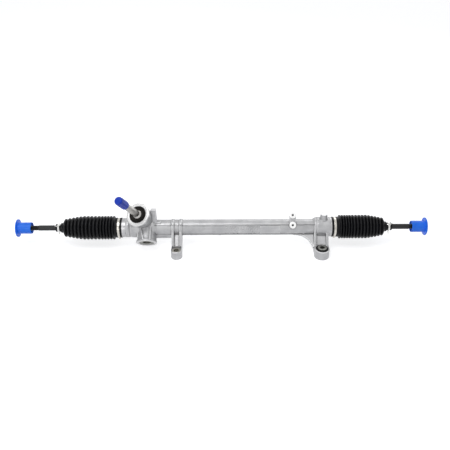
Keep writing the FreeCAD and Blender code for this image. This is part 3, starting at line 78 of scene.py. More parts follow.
MM = 0.001
FULL_TURN = 2 * math.pi
UP = Vector((0, 0, 1))
BACKWARD = Vector((0, 1, 0))
RIGHTWARD = Vector((1, 0, 0))
SMOOTH_ANGLE = math.radians(38)
SAME_POINT = 1e-6
STRAIGHT = math.radians(15)
LONGEST_ROUNDING = 0.45
CORNER_POINTS = 5
WHITE = (1.0, 1.0, 1.0, 1.0)

Triple = tuple[float, float, float]
Point = tuple[float, float]
Swell = Callable[[float, float, float], float]


class Side(Enum):
    """An end of the rack, with the way it points along X."""

    LEFT = "left"
    RIGHT = "right"

    @property
    def outward(self) -> Vector:
        """The direction away from the housing."""
        return -RIGHTWARD if self is Side.LEFT else RIGHTWARD.copy()

    def node(self, piece: str) -> str:
        """The name of a CAD node on this side."""
        return f"{self.value}_{piece}"


class Slot(Enum):
    """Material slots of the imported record."""

    CAST = "cast_aluminium"
    MACHINED = "machined_aluminium"
    STEEL = "steel"
    DARK_STEEL = "dark_steel"
    CLAMP = "clamp_steel"
    RUBBER = "rubber"
    BLUE = "blue_plastic"


# Frames of reference.
def local_frame(
    origin: Sequence[float], across: Sequence[float], side: Sequence[float],
    along: Sequence[float],
) -> Matrix:
    """Makes a frame of millimetres in the row's frame of metres.

    Args:
        origin: The frame's origin, in metres.
        across: Direction of its X.
        side: Direction of its Y.
        along: Direction of its Z.

    Returns:
        The matrix that turns the frame's millimetres into metres of the row's frame.
    """
    turn = Matrix((across, side, along)).transposed().to_4x4()
    return Matrix.Translation(origin) @ turn @ Matrix.Scale(MM, 4)


def leaning(degrees: float) -> tuple[Vector, Vector]:
    """Leans the forward and the upward direction back about the rack's axis.

    Args:
        degrees: The lean, with the forward direction rising.

    Returns:
        The leaning forward direction and the leaning upward one.
    """
    lean = math.radians(degrees)
    return (Vector((0, -math.cos(lean), math.sin(lean))),
            Vector((0, math.sin(lean), math.cos(lean))))


@dataclass(frozen=True)
class Axis:
    """A straight axis of the row's frame, in metres.

    Attributes:
        origin: A point on the axis.
        direction: The way the axis points.
        up: A direction that fixes the turn about the axis.
    """

    origin: Vector
    direction: Vector
    up: Vector = field(default_factory=lambda: UP.copy())

    def matrix(self) -> Matrix:
        """Makes the axis's own frame of millimetres.

        Returns:
            The frame, with Z along the axis and X towards up.
        """
        along = self.direction.normalized()
        across = (self.up - along * self.up.dot(along)).normalized()
        return local_frame(self.origin, across, along.cross(across), along)


def joint_axis(name: str) -> Axis:
    """Reads a joint's axis from the frame.

    Args:
        name: The joint's name.

    Returns:
        The axis, through the joint's point where it has one.
    """
    joint = next(item for item in frame["joints"] if item["name"] == name)
    return Axis(Vector(joint.get("pos_m") or (0, 0, 0)), Vector(joint["axis"]))


def ball_centre(side: Side) -> Vector:
    """The middle of a tie rod's ball."""
    return joint_axis(side.node("rod_swing_up_down")).origin


def shoulder(side: Side) -> Vector:
    """Finds the point of the rack's axis where a boot meets the housing.

    Args:
        side: The boot's side.

    Returns:
        The point, in metres.
    """
    low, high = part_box(side.node("boot"))
    centre = (low + high) / 2
    centre.x = high.x if side is Side.LEFT else low.x
    return centre


# Outlines and solids.
def rectangle(low: Point, high: Point) -> list[Point]:
    """The corners of a rectangle between two opposite ones."""
    return [low, (high[0], low[1]), high, (low[0], high[1])]


def arc(centre: Point, radius: float, angles: Point, steps: int) -> list[Point]:
    """Follows a circle.

    Args:
        centre: The circle's centre.
        radius: Its radius.
        angles: Where the arc starts and ends, in radians.
        steps: Number of edges.

    Returns:
        The points of the arc, its ends among them.
    """
    start, end = angles
    turns = [start + (end - start) * step / steps for step in range(steps + 1)]
    return [(centre[0] + radius * math.cos(angle), centre[1] + radius * math.sin(angle))
            for angle in turns]


def rounded(
    profile: Sequence[Point], radius: float, steps: int = CORNER_POINTS - 1
) -> list[Point]:
    """Rounds the corners of a closed outline.

    Args:
        profile: Corners of the outline, in order.
        radius: Radius of the rounding, cut short on short edges.
        steps: Number of edges in each rounding.

    Returns:
        The outline with each corner replaced by an arc.
    """
    result: list[Point] = []
    for index, corner in enumerate(profile):
        here = Vector(corner)
        before = Vector(profile[index - 1]) - here
        after = Vector(profile[(index + 1) % len(profile)]) - here
        doubled = min(before.length, after.length) < SAME_POINT
        if doubled or abs(here.x) < SAME_POINT or math.pi - before.angle(after) < STRAIGHT:
            result.append(corner)
            continue
        reach = min(radius / math.tan(before.angle(after) / 2),
                    before.length * LONGEST_ROUNDING, after.length * LONGEST_ROUNDING)
        start = here + before.normalized() * reach
        end = here + after.normalized() * reach
        for step in range(steps + 1):
            share = step / steps
            point = start.lerp(here, share).lerp(here.lerp(end, share), share)
            result.append((point.x, point.y))
    return result


class Solid:
    """One or more closed shells, put together in a local frame of millimetres."""

    FIRST_NORMAL = Vector((0.3, 0.4, 0.86))

    def __init__(self, place: Matrix) -> None:
        """Starts an empty solid.

        Args:
            place: Turns local millimetres into metres of the row's frame.
        """
        self.place = place
        self.mesh = bmesh.new()

    def point(self, across: float, side: float, along: float) -> bmesh.types.BMVert:
        """Adds one vertex, given in the local frame."""
        return self.mesh.verts.new(self.place @ Vector((across, side, along)))

    def turn(
        self, profile: Sequence[Point], segments: int = 96, swell: Swell | None = None
    ) -> "Solid":
        """Turns a closed profile about the local Z.

        Args:
            profile: Corners of the profile as (radius, along).
            segments: Number of faces round the axis.
            swell: Gives the radius from (angle, along, radius).

        Returns:
            This solid.
        """
        rings = []
        for radius, along in profile:
            if radius < SAME_POINT:
                rings.append([self.point(0, 0, along)])
                continue
            ring = []
            for number in range(segments):
                angle = FULL_TURN * number / segments
                reach = swell(angle, along, radius) if swell else radius
                ring.append(self.point(reach * math.cos(angle), reach * math.sin(angle), along))
            rings.append(ring)
        for index, ring in enumerate(rings):
            self.bridge(ring, rings[(index + 1) % len(rings)], segments)
        return self

    def bridge(self, ring: list, following: list, segments: int) -> None:
        """Joins two rings, either of which may be a single point.

        Args:
            ring: Vertices of the first ring.
            following: Vertices of the second ring.
            segments: Number of faces between them.
        """
        if len(ring) == 1 and len(following) == 1:
            return
        for number in range(segments):
            after = (number + 1) % segments
            if len(ring) == 1:
                corners = (ring[0], following[number], following[after])
            elif len(following) == 1:
                corners = (ring[number], following[0], ring[after])
            else:
                corners = (ring[number], following[number], following[after], ring[after])
            self.mesh.faces.new(corners)

    def prism(
        self, outline: Sequence[Point], low: float, high: float, shift: float = 0.0
    ) -> "Solid":
        """Raises a closed outline of the local XY plane.

        Args:
            outline: Corners of the outline.
            low: Height of the lower face.
            high: Height of the upper face.
            shift: How far the upper face is moved along X.

        Returns:
            This solid.
        """
        lower = [self.point(across, side, low) for across, side in outline]
        upper = [self.point(across + shift, side, high) for across, side in outline]
        self.mesh.faces.new(lower)
        self.mesh.faces.new(upper)
        self.bridge(lower, upper, len(outline))
        return self

    def sweep(self, path: Sequence[Vector], radius: float, sides: int = 14) -> "Solid":
        """Runs a round wire along a path.

        Args:
            path: Points of the path, in the local frame.
            radius: Radius of the wire.
            sides: Number of faces round the wire.

        Returns:
            This solid.
        """
        rings = []
        normal = self.FIRST_NORMAL
        for index, centre in enumerate(path):
            ahead = path[min(index + 1, len(path) - 1)] - path[max(index - 1, 0)]
            ahead.normalize()
            normal = (normal - ahead * normal.dot(ahead)).normalized()
            side = ahead.cross(normal)
            ring = []
            for number in range(sides):
                angle = FULL_TURN * number / sides
                spot = centre + (normal * math.cos(angle) + side * math.sin(angle)) * radius
                ring.append(self.point(*spot))
            rings.append(ring)
        for ring, following in zip(rings, rings[1:]):
            self.bridge(ring, following, sides)
        self.mesh.faces.new(rings[0])
        self.mesh.faces.new(rings[-1])
        return self

    def finished(self, name: str) -> bpy.types.Object:
        """Closes the solid and adds it to the scene.

        Args:
            name: Name of the new piece.

        Returns:
            The new object, at the origin of the row's frame.
        """
        bmesh.ops.recalc_face_normals(self.mesh, faces=self.mesh.faces)
        data = bpy.data.meshes.new(name)
        self.mesh.to_mesh(data)
        self.mesh.free()
        piece = bpy.data.objects.new(name, data)
        bpy.context.scene.collection.objects.link(piece)
        smooth(piece)
        return piece


def smooth(piece: bpy.types.Object) -> None:
    """Shades a piece smooth, with its sharp edges kept."""
    piece.data.shade_smooth()
    piece.data.set_sharp_from_angle(angle=SMOOTH_ANGLE)


def applied(piece: bpy.types.Object) -> bpy.types.Object:
    """Puts a piece's modifiers into its mesh.

    Args:
        piece: The piece, with at least one modifier.

    Returns:
        The same piece, with none.
    """
    bpy.context.view_layer.update()
    graph = bpy.context.evaluated_depsgraph_get()
    data = bpy.data.meshes.new_from_object(piece.evaluated_get(graph))
    old = piece.data
    piece.modifiers.clear()
    piece.data = data
    bpy.data.meshes.remove(old)
    return piece


# Finishes.
@dataclass(frozen=True)
class Pattern:
    """A noise pattern.

    Attributes:
        scale: Features per metre, roughly.
        detail: Number of finer layers in it.
    """

    scale: float
    detail: float


@dataclass(frozen=True)
class Relief:
    """A noise pattern raised off a surface.

    Attributes:
        pattern: The pattern.
        depth: Height of its peaks, in metres.
        strength: Share of the effect.
    """

    pattern: Pattern
    depth: float
    strength: float


class Wiring:
    """A node tree while it is being wired."""

    def __init__(self, tree: bpy.types.NodeTree) -> None:
        """Takes over a tree and empties it."""
        self.tree = tree
        self.tree.nodes.clear()

    def node(self, kind: str, **settings: object) -> bpy.types.Node:
        """Adds a node and sets its options.

        Args:
            kind: The node's type.
            settings: Its options.

        Returns:
            The node.
        """
        made = self.tree.nodes.new(kind)
        for option, amount in settings.items():
            setattr(made, option, amount)
        return made

    def feed(self, socket: bpy.types.NodeSocket, source: object) -> None:
        """Links a socket to a source, or sets it where the source is a plain value.

        Args:
            socket: The socket that takes the value.
            source: Another node's socket, or the value.
        """
        if isinstance(source, bpy.types.NodeSocket):
            self.tree.links.new(source, socket)
        else:
            socket.default_value = source

    def fed(self, kind: str, sources: Sequence[object], **settings: object) -> bpy.types.Node:
        """Adds a node and feeds its first sockets in order.

        Args:
            kind: The node's type.
            sources: What its sockets take.
            settings: The node's options.

        Returns:
            The node.
        """
        made = self.node(kind, **settings)
        for socket, source in zip(made.inputs, sources):
            self.feed(socket, source)
        return made

    def calculate(self, operation: str, *sources: object) -> bpy.types.NodeSocket:
        """The result of a Math node."""
        return self.fed("ShaderNodeMath", sources, operation=operation).outputs[0]

    def seen(self) -> bpy.types.NodeSocket:
        """Tells the rays that show the background: seen, mirrored or through glass.

        Returns:
            A socket with the value 1 for such rays.
        """
        path = self.node("ShaderNodeLightPath")
        share = path.outputs["Is Camera Ray"]
        for kind in ("Is Glossy Ray", "Is Transmission Ray"):
            share = self.calculate("MAXIMUM", share, path.outputs[kind])
        return share


class Graph(Wiring):
    """The nodes of one material while it is being wired."""

    def __init__(self, name: str) -> None:
        """Starts a material with only its output and main shader.

        Args:
            name: Name of the material.
        """
        self.material = bpy.data.materials.new(name)
        self.material.use_nodes = True
        super().__init__(self.material.node_tree)
        self.output = self.node("ShaderNodeOutputMaterial")
        self.shader = self.node("ShaderNodeBsdfPrincipled")
        self.feed(self.output.inputs["Surface"], self.shader.outputs[0])

    def place(self) -> bpy.types.NodeSocket:
        """The point being shaded, in the piece's own metres."""
        return self.node("ShaderNodeTexCoord").outputs["Object"]

    def noise(self, pattern: Pattern) -> bpy.types.NodeSocket:
        """Lays a noise pattern over the piece.

        Args:
            pattern: The pattern.

        Returns:
            The socket with its value, from 0 to 1.
        """
        made = self.node("ShaderNodeTexNoise")
        self.feed(made.inputs["Vector"], self.place())
        made.inputs["Scale"].default_value = pattern.scale
        made.inputs["Detail"].default_value = pattern.detail
        return made.outputs["Fac"]

    def vector(self, operation: str, *sources: object) -> bpy.types.Node:
        """A Vector Math node."""
        return self.fed("ShaderNodeVectorMath", sources, operation=operation)

    def spread(
        self, source: bpy.types.NodeSocket, low: float, high: float, span: Point = (0.3, 0.7)
    ) -> bpy.types.NodeSocket:
        """Maps a value from a span onto a range.

        Args:
            source: The value.
            low: Start of the range.
            high: End of the range.
            span: Values that give the start and the end.

        Returns:
            The socket with the mapped value.
        """
        made = self.node("ShaderNodeMapRange")
        self.feed(made.inputs["Value"], source)
        for name, amount in zip(("From Min", "From Max", "To Min", "To Max"), (*span, low, high)):
            made.inputs[name].default_value = amount
        return made.outputs["Result"]

    def blended(
        self, share: bpy.types.NodeSocket, first: object, second: object
    ) -> bpy.types.NodeSocket:
        """Mixes two colours.

        Args:
            share: Share of the second colour, from 0 to 1.
            first: The first colour, or its socket.
            second: The second colour, or its socket.

        Returns:
            The socket with the mixed colour.
        """
        made = self.node("ShaderNodeMix", data_type="RGBA")
        self.feed(made.inputs[0], share)
        for socket, source in zip((made.inputs[6], made.inputs[7]), (first, second)):
            self.feed(socket, (*source, 1.0) if isinstance(source, tuple) else source)
        return made.outputs[2]

    def bump(
        self, height: bpy.types.NodeSocket, depth: float, strength: float,
        under: bpy.types.NodeSocket | None = None,
    ) -> bpy.types.NodeSocket:
        """Roughens the normal by a height.

        Args:
            height: The height, from 0 to 1.
            depth: What a height of 1 stands for, in metres.
            strength: Share of the effect.
            under: A normal to start from.

        Returns:
            The socket with the new normal.
        """
        made = self.node("ShaderNodeBump")
        made.inputs["Strength"].default_value = strength
        made.inputs["Distance"].default_value = depth
        self.feed(made.inputs["Height"], height)
        if under:
            self.feed(made.inputs["Normal"], under)
        return made.outputs["Normal"]

    def raised(
        self, relief: Relief, under: bpy.types.NodeSocket | None = None
    ) -> bpy.types.NodeSocket:
        """The normal of a relief, over another one where it is given."""
        return self.bump(self.noise(relief.pattern), relief.depth, relief.strength, under)

    def surface(self, **sources: object) -> bpy.types.Material:
        """Feeds the main shader.

        Args:
            sources: What each socket takes, by its name with underscores.

        Returns:
            The material.
        """
        for name, source in sources.items():
            socket = self.shader.inputs[name.replace("_", " ")]
            if name == "Base_Color" and isinstance(source, tuple):
                source = (*source, 1.0)
            self.feed(socket, source)
        return self.material


@dataclass(frozen=True)
class Finish:
    """A surface finish that makes its own material.

    Attributes:
        name: Name of the material.
        colour: Its main colour.
        shade: The colour of its darker or worn places.
        roughness: Its middle roughness.
        patches: Pattern of its smoother and rougher patches.
        smoother: How far the roughness falls in them.
        rougher: How far it rises.
    """

    name: str
    colour: Triple
    shade: Triple
    roughness: float
    patches: Pattern = Pattern(90.0, 3.0)
    smoother: float = 0.06
    rougher: float = 0.08

    def material(self) -> bpy.types.Material:
        """Builds the material."""
        raise NotImplementedError

    def rough(self, graph: Graph) -> bpy.types.NodeSocket:
        """The roughness, with its patches."""
        return graph.spread(graph.noise(self.patches), self.roughness - self.smoother,
                            self.roughness + self.rougher)


@dataclass(frozen=True)
class CastFinish(Finish):
    """Die-cast aluminium: fine grain, slow waviness, painted shade in its hollows and brighter
    edges.
    """

    cloud: Pattern = Pattern(38.0, 4.0)
    speckle: Pattern = Pattern(620.0, 3.0)
    cloud_share: float = 0.7
    hollow_span: Point = (0.47, 0.5)
    hollow_shade: float = 0.55
    edge_span: Point = (0.51, 0.545)
    edge_gain: float = 1.25
    grain: Relief = Relief(Pattern(1300.0, 2.0), 0.00012, 0.5)
    wave: Relief = Relief(Pattern(210.0, 1.0), 0.0005, 0.35)
    metallic: float = 0.55
    centre: Triple = (0.0, 0.0, 0.0)
    # Painted shade: dark bands along the parting lines, at these angles round the tube.
    shaded_seam_angles: tuple[float, ...] = ()
    seam_reach: float = 0.0245
    seam_fade: float = 0.0008
    seam_wander: Pattern = Pattern(46.0, 3.0)
    seam_sway: float = 0.03
    seam_width: Point = (0.04, 0.11)
    seam_painted_shade: float = 0.6

    def material(self) -> bpy.types.Material:
        """Builds the material.

        Returns:
            The material, with dirt in its hollows and along the parting lines.
        """
        graph = Graph(self.name)
        cloud = graph.noise(self.cloud)
        speckle = graph.noise(self.speckle)
        tone = graph.calculate("ADD", graph.spread(cloud, 0.0, self.cloud_share),
                               graph.spread(speckle, 0.0, 1 - self.cloud_share))
        cast = graph.blended(tone, self.shade, self.colour)
        # Pointiness brightens the rubbed edges as wear and darkens the hollows as painted shade.
        worn = graph.node("ShaderNodeNewGeometry").outputs["Pointiness"]
        hollow_painted_shade = graph.spread(worn, self.hollow_shade, 1.0, self.hollow_span)
        edge = graph.spread(worn, 0.0, 1.0, self.edge_span)
        painted_shade_cast = graph.vector("SCALE", cast)
        kept = graph.calculate("MULTIPLY", hollow_painted_shade, self.clear_of_seam_shade(graph))
        graph.feed(painted_shade_cast.inputs["Scale"], kept)
        rubbed = tuple(min(1.0, part * self.edge_gain) for part in self.colour)
        bright = graph.blended(edge, painted_shade_cast.outputs[0], rubbed)
        wavy = graph.raised(self.wave, graph.raised(self.grain))
        return graph.surface(Base_Color=bright, Metallic=self.metallic,
                             Roughness=self.rough(graph), Normal=wavy)

    def clear_of_seam_shade(self, graph: Graph) -> bpy.types.NodeSocket:
        """Finds clean metal and the painted shade along the tube's parting lines.

        Args:
            graph: The material that gets the nodes.

        Returns:
            A socket with 1 on clean metal and less in the painted shade.
        """
        offset = graph.vector("SUBTRACT", graph.place(), self.centre).outputs[0]
        parts = graph.fed("ShaderNodeSeparateXYZ", [offset])
        front = graph.calculate("MULTIPLY", parts.outputs["Y"], -1.0)
        angle = graph.calculate("ARCTAN2", parts.outputs["Z"], front)
        across = graph.vector("MULTIPLY", offset, (0.0, 1.0, 1.0)).outputs[0]
        radius = graph.vector("LENGTH", across).outputs["Value"]
        on_tube = graph.spread(radius, 1.0, 0.0,
                               (self.seam_reach, self.seam_reach + self.seam_fade))
        wander = graph.spread(graph.noise(self.seam_wander), -self.seam_sway, self.seam_sway)
        clear: object = 1.0
        for seam in self.shaded_seam_angles:
            beside = graph.calculate("SUBTRACT", angle, math.radians(seam))
            away = graph.calculate("ABSOLUTE", graph.calculate("ADD", beside, wander))
            line = graph.spread(away, 0.0, 1.0, self.seam_width)
            clear = graph.calculate("MULTIPLY", clear, line)
        lost = graph.calculate("MULTIPLY", graph.calculate("SUBTRACT", 1.0, clear), on_tube)
        dimmed = graph.calculate("MULTIPLY", lost, self.seam_painted_shade)
        return graph.calculate("SUBTRACT", 1.0, dimmed)


@dataclass(frozen=True)
class TurnedFinish(Finish):
    """Metal turned about an axis: fine tool marks round it and a few scratches."""

    patches: Pattern = Pattern(240.0, 4.0)
    smoother: float = 0.07
    rougher: float = 0.1
    centre: Triple = (0.0, 0.0, 0.0)
    axis: Triple = (0.0, 0.0, 1.0)
    pitch: float = 0.0006
    groove: float = 0.00006
    groove_strength: float = 0.5
    chatter: Pattern = Pattern(160.0, 3.0)
    nicks: Relief = Relief(Pattern(520.0, 5.0), 0.00008, 0.3)
    stain: Pattern = Pattern(70.0, 4.0)
    metallic: float = 1.0

    def material(self) -> bpy.types.Material:
        """Builds the material.

        Returns:
            The material, with its tool marks round the axis.
        """
        graph = Graph(self.name)
        offset = graph.vector("SUBTRACT", graph.place(), self.centre).outputs[0]
        along = graph.vector("DOT_PRODUCT", offset, self.axis).outputs["Value"]
        out = graph.vector("CROSS_PRODUCT", offset, self.axis).outputs[0]
        radius = graph.vector("LENGTH", out).outputs["Value"]
        travel = graph.calculate("ADD", along, radius)
        phase = graph.calculate("MULTIPLY", travel, FULL_TURN / self.pitch)
        marks = graph.calculate("SINE", graph.calculate("ADD", phase, graph.noise(self.chatter)))
        height = graph.spread(marks, 0.0, 1.0, (-1.0, 1.0))
        tool = graph.bump(height, self.groove, self.groove_strength)
        nicked = graph.raised(self.nicks, tool)
        tone = graph.spread(graph.noise(self.stain), 0.0, 1.0)
        rough = self.rough(graph)
        colour = graph.blended(tone, self.shade, self.colour)
        return graph.surface(Base_Color=colour, Metallic=self.metallic, Roughness=rough,
                             Normal=nicked)


@dataclass(frozen=True)
class RubberFinish(Finish):
    """Moulded black rubber: soft sheen, fine skin and a little bloom in places."""

    patches: Pattern = Pattern(75.0, 4.0)
    smoother: float = 0.05
    rougher: float = 0.12
    bloom: Pattern = Pattern(55.0, 5.0)
    bloom_span: Point = (0.45, 0.75)
    skin: Relief = Relief(Pattern(1500.0, 3.0), 0.00005, 0.35)
    flow: Relief = Relief(Pattern(140.0, 2.0), 0.0003, 0.25)
    shine: float = 0.22

    def material(self) -> bpy.types.Material:
        """Builds the material.

        Returns:
            The material, pale where the rubber has bloomed.
        """
        graph = Graph(self.name)
        bloom = graph.spread(graph.noise(self.bloom), 0.0, 1.0, self.bloom_span)
        colour = graph.blended(bloom, self.colour, self.shade)
        moulded = graph.raised(self.flow, graph.raised(self.skin))
        return graph.surface(Base_Color=colour, Roughness=self.rough(graph), Normal=moulded,
                             Specular_IOR_Level=self.shine)


@dataclass(frozen=True)
class PlasticFinish(Finish):
    """Moulded plastic: nearly even colour, faint flow marks and a soft gloss."""

    patches: Pattern = Pattern(210.0, 3.0)
    smoother: float = 0.05
    swirl: Pattern = Pattern(60.0, 4.0)
    skin: Relief = Relief(Pattern(900.0, 3.0), 0.00006, 0.3)
    sink: Relief = Relief(Pattern(95.0, 1.0), 0.0006, 0.2)
    shine: float = 0.3
    glow: float = 0.0
    glow_depth: float = 0.004

    def material(self) -> bpy.types.Material:
        """Builds the material.

        Returns:
            The material, with the sink marks of a moulding.
        """
        graph = Graph(self.name)
        swirl = graph.spread(graph.noise(self.swirl), 0.0, 1.0)
        colour = graph.blended(swirl, self.shade, self.colour)
        moulded = graph.raised(self.sink, graph.raised(self.skin))
        return graph.surface(Base_Color=colour, Roughness=self.rough(graph), Normal=moulded,
                             Specular_IOR_Level=self.shine, Subsurface_Weight=self.glow,
                             Subsurface_Scale=self.glow_depth)


@dataclass(frozen=True)
class CoatedFinish(Finish):
    """Steel under a dark phosphate coat, rubbed brighter in specks."""

    patches: Pattern = Pattern(190.0, 4.0)
    rougher: float = 0.1
    specks: Pattern = Pattern(480.0, 5.0)
    speck_span: Point = (0.55, 0.8)
    grain: Relief = Relief(Pattern(1400.0, 2.0), 0.00006, 0.4)
    forging: Relief = Relief(Pattern(130.0, 3.0), 0.0003, 0.3)
    metallic: float = 0.55

    def material(self) -> bpy.types.Material:
        """Builds the material.

        Returns:
            The material, with bare specks in its coat.
        """
        graph = Graph(self.name)
        specks = graph.spread(graph.noise(self.specks), 0.0, 1.0, self.speck_span)
        colour = graph.blended(specks, self.colour, self.shade)
        forged = graph.raised(self.forging, graph.raised(self.grain))
        return graph.surface(Base_Color=colour, Metallic=self.metallic,
                             Roughness=self.rough(graph), Normal=forged)


@cache
def dressed(finish: Finish) -> bpy.types.Material:
    """The one material of a finish."""
    return finish.material()


RACK_HEIGHT = shoulder(Side.LEFT)
PINION = joint_axis("pinion_spin")
RACK_AXIS_POINT = (0.0, RACK_HEIGHT.y, RACK_HEIGHT.z)
RIGHT_MOUNT = (0.4, 0.0, 0.0)
ROUND_RACK = {"centre": RACK_AXIS_POINT, "axis": (1.0, 0.0, 0.0)}
ROUND_PINION = {"centre": tuple(PINION.origin), "axis": tuple(PINION.direction)}

# The casting paints shade into its hollows and along two parting lines of the tube.
CASTING = CastFinish(
    "cast_aluminium", (0.57, 0.57, 0.575), (0.38, 0.38, 0.39), 0.38,
    centre=RACK_AXIS_POINT, shaded_seam_angles=(48.0, -24.0),
)
RACK_TURNED = TurnedFinish(
    "turned_aluminium_on_rack", (0.50, 0.50, 0.505), (0.38, 0.38, 0.39), 0.30, **ROUND_RACK,
)
TOWER_TURNED = TurnedFinish(
    "turned_aluminium_on_tower", (0.68, 0.68, 0.68), (0.56, 0.56, 0.56), 0.32, **ROUND_PINION,
)
EYE_TURNED = TurnedFinish(
    "eye_face_metal", (0.92, 0.92, 0.92), (0.84, 0.84, 0.84), 0.34, pitch=0.0008,
)
SPOT_FACED = TurnedFinish(
    "spot_faced_aluminium", (0.46, 0.45, 0.41), (0.36, 0.35, 0.32), 0.36, pitch=0.0009,
)
SHAFT_STEEL = TurnedFinish(
    "ground_steel_on_tower", (0.48, 0.47, 0.455), (0.36, 0.35, 0.335), 0.30, pitch=0.0004,
    **ROUND_PINION,
)
RACK_STEEL = TurnedFinish(
    "ground_steel_on_rack", (0.56, 0.56, 0.57), (0.46, 0.46, 0.47), 0.24, pitch=0.0004,
    **ROUND_RACK,
)
BUSH_STEEL = TurnedFinish(
    "zinc_plated_steel", (0.34, 0.34, 0.32), (0.24, 0.24, 0.225), 0.33, centre=RIGHT_MOUNT,
)
BRIGHT_CLAMP = TurnedFinish(
    "stainless_clamp", (0.64, 0.62, 0.58), (0.48, 0.46, 0.42), 0.20, pitch=0.0011,
    **ROUND_RACK,
)
BRIGHT_WIRE = TurnedFinish(
    "plated_wire", (0.90, 0.90, 0.88), (0.78, 0.78, 0.76), 0.26, pitch=0.0013, **ROUND_RACK,
)
BOOT_RUBBER = RubberFinish(
    "boot_rubber", (0.004, 0.004, 0.005), (0.008, 0.008, 0.010), 0.30, shine=0.17,
)
SEAL_RUBBER = RubberFinish("seal_rubber", (0.010, 0.009, 0.008), (0.018, 0.016, 0.014), 0.46)
BUSH_RUBBER = RubberFinish("bush_rubber", (0.014, 0.014, 0.014), (0.03, 0.03, 0.03), 0.55)
THREAD_CAP_BLUE = PlasticFinish(
    "bright_blue_plastic", (0.022, 0.20, 0.94), (0.016, 0.17, 0.86), 0.34, glow=0.08,
)
PINION_CAP_BLUE = PlasticFinish(
    "deep_blue_plastic", (0.004, 0.045, 0.50), (0.003, 0.034, 0.40), 0.36,
)
NYLON = PlasticFinish("seat_nylon", (0.78, 0.76, 0.69), (0.70, 0.68, 0.60), 0.45)
ROD_COAT = CoatedFinish(
    "black_coated_steel", (0.006, 0.006, 0.007), (0.03, 0.03, 0.032), 0.36, metallic=0.25,
)
SPRING_COAT = CoatedFinish("oiled_spring_steel", (0.05, 0.05, 0.055), (0.13, 0.13, 0.13), 0.35)
BRONZE = TurnedFinish(
    "sintered_bronze", (0.42, 0.27, 0.11), (0.33, 0.20, 0.08), 0.40, **ROUND_PINION,
)


def dress(
    piece: bpy.types.Object, finish: Finish, body: str | None = None,
    replacing: Iterable[str] = (),
) -> bpy.types.Object:
    """Gives a new piece its material and the body that carries it.

    Args:
        piece: The piece, in place.
        finish: Its finish.
        body: The body it rides on, or none where it is left unattached.
        replacing: The CAD nodes that it stands for.

    Returns:
        The piece.
    """
    piece.data.materials.clear()
    piece.data.materials.append(dressed(finish))
    if body:
        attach(piece, body)
    for node in replacing:
        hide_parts(node)
    log.info("made %s", piece.name)
    return piece


def repaint(node: str, finish: Finish) -> None:
    """Gives a CAD node that stays a better material.

    Args:
        node: The node's name.
        finish: Its finish.
    """
    data = frame["nodes"][node].data
    data.materials.clear()
    data.materials.append(dressed(finish))
    for polygon in data.polygons:
        polygon.material_index = 0
    log.info("dressed %s", node)


# The housing.
def stepped(start: float, steps: Sequence[Point]) -> list[Point]:
    """Draws the half section of a stepped shaft or bore.

    Args:
        start: Where it starts along its axis.
        steps: Each step's radius and the place where the step ends.

    Returns:
        The section, closed on the axis at both ends.
    """
    section = [(0.0, start)]
    for radius, end in steps:
        section += [(radius, section[-1][1]), (radius, end)]
    return section + [(0.0, section[-1][1])]


@dataclass(frozen=True)
class Lug:
    """A forward lug: two ribs wrapped round the tube, a web and a bolt boss."""

    place: float
    width: float
    rib: float
    boss_radius: float
    boss_height: float
    bore_radius: float
    wrap_radius: float = 24.6
    wrap_angle: float = 30.0
    shoulder_share: float = 0.6
    web_drop: float = 4.0
    web_depth: float = 8.0
    stock: float = 0.0

    @property
    def half(self) -> float:
        """Half the distance between the middles of its two ribs."""
        return (self.width - self.rib) / 2


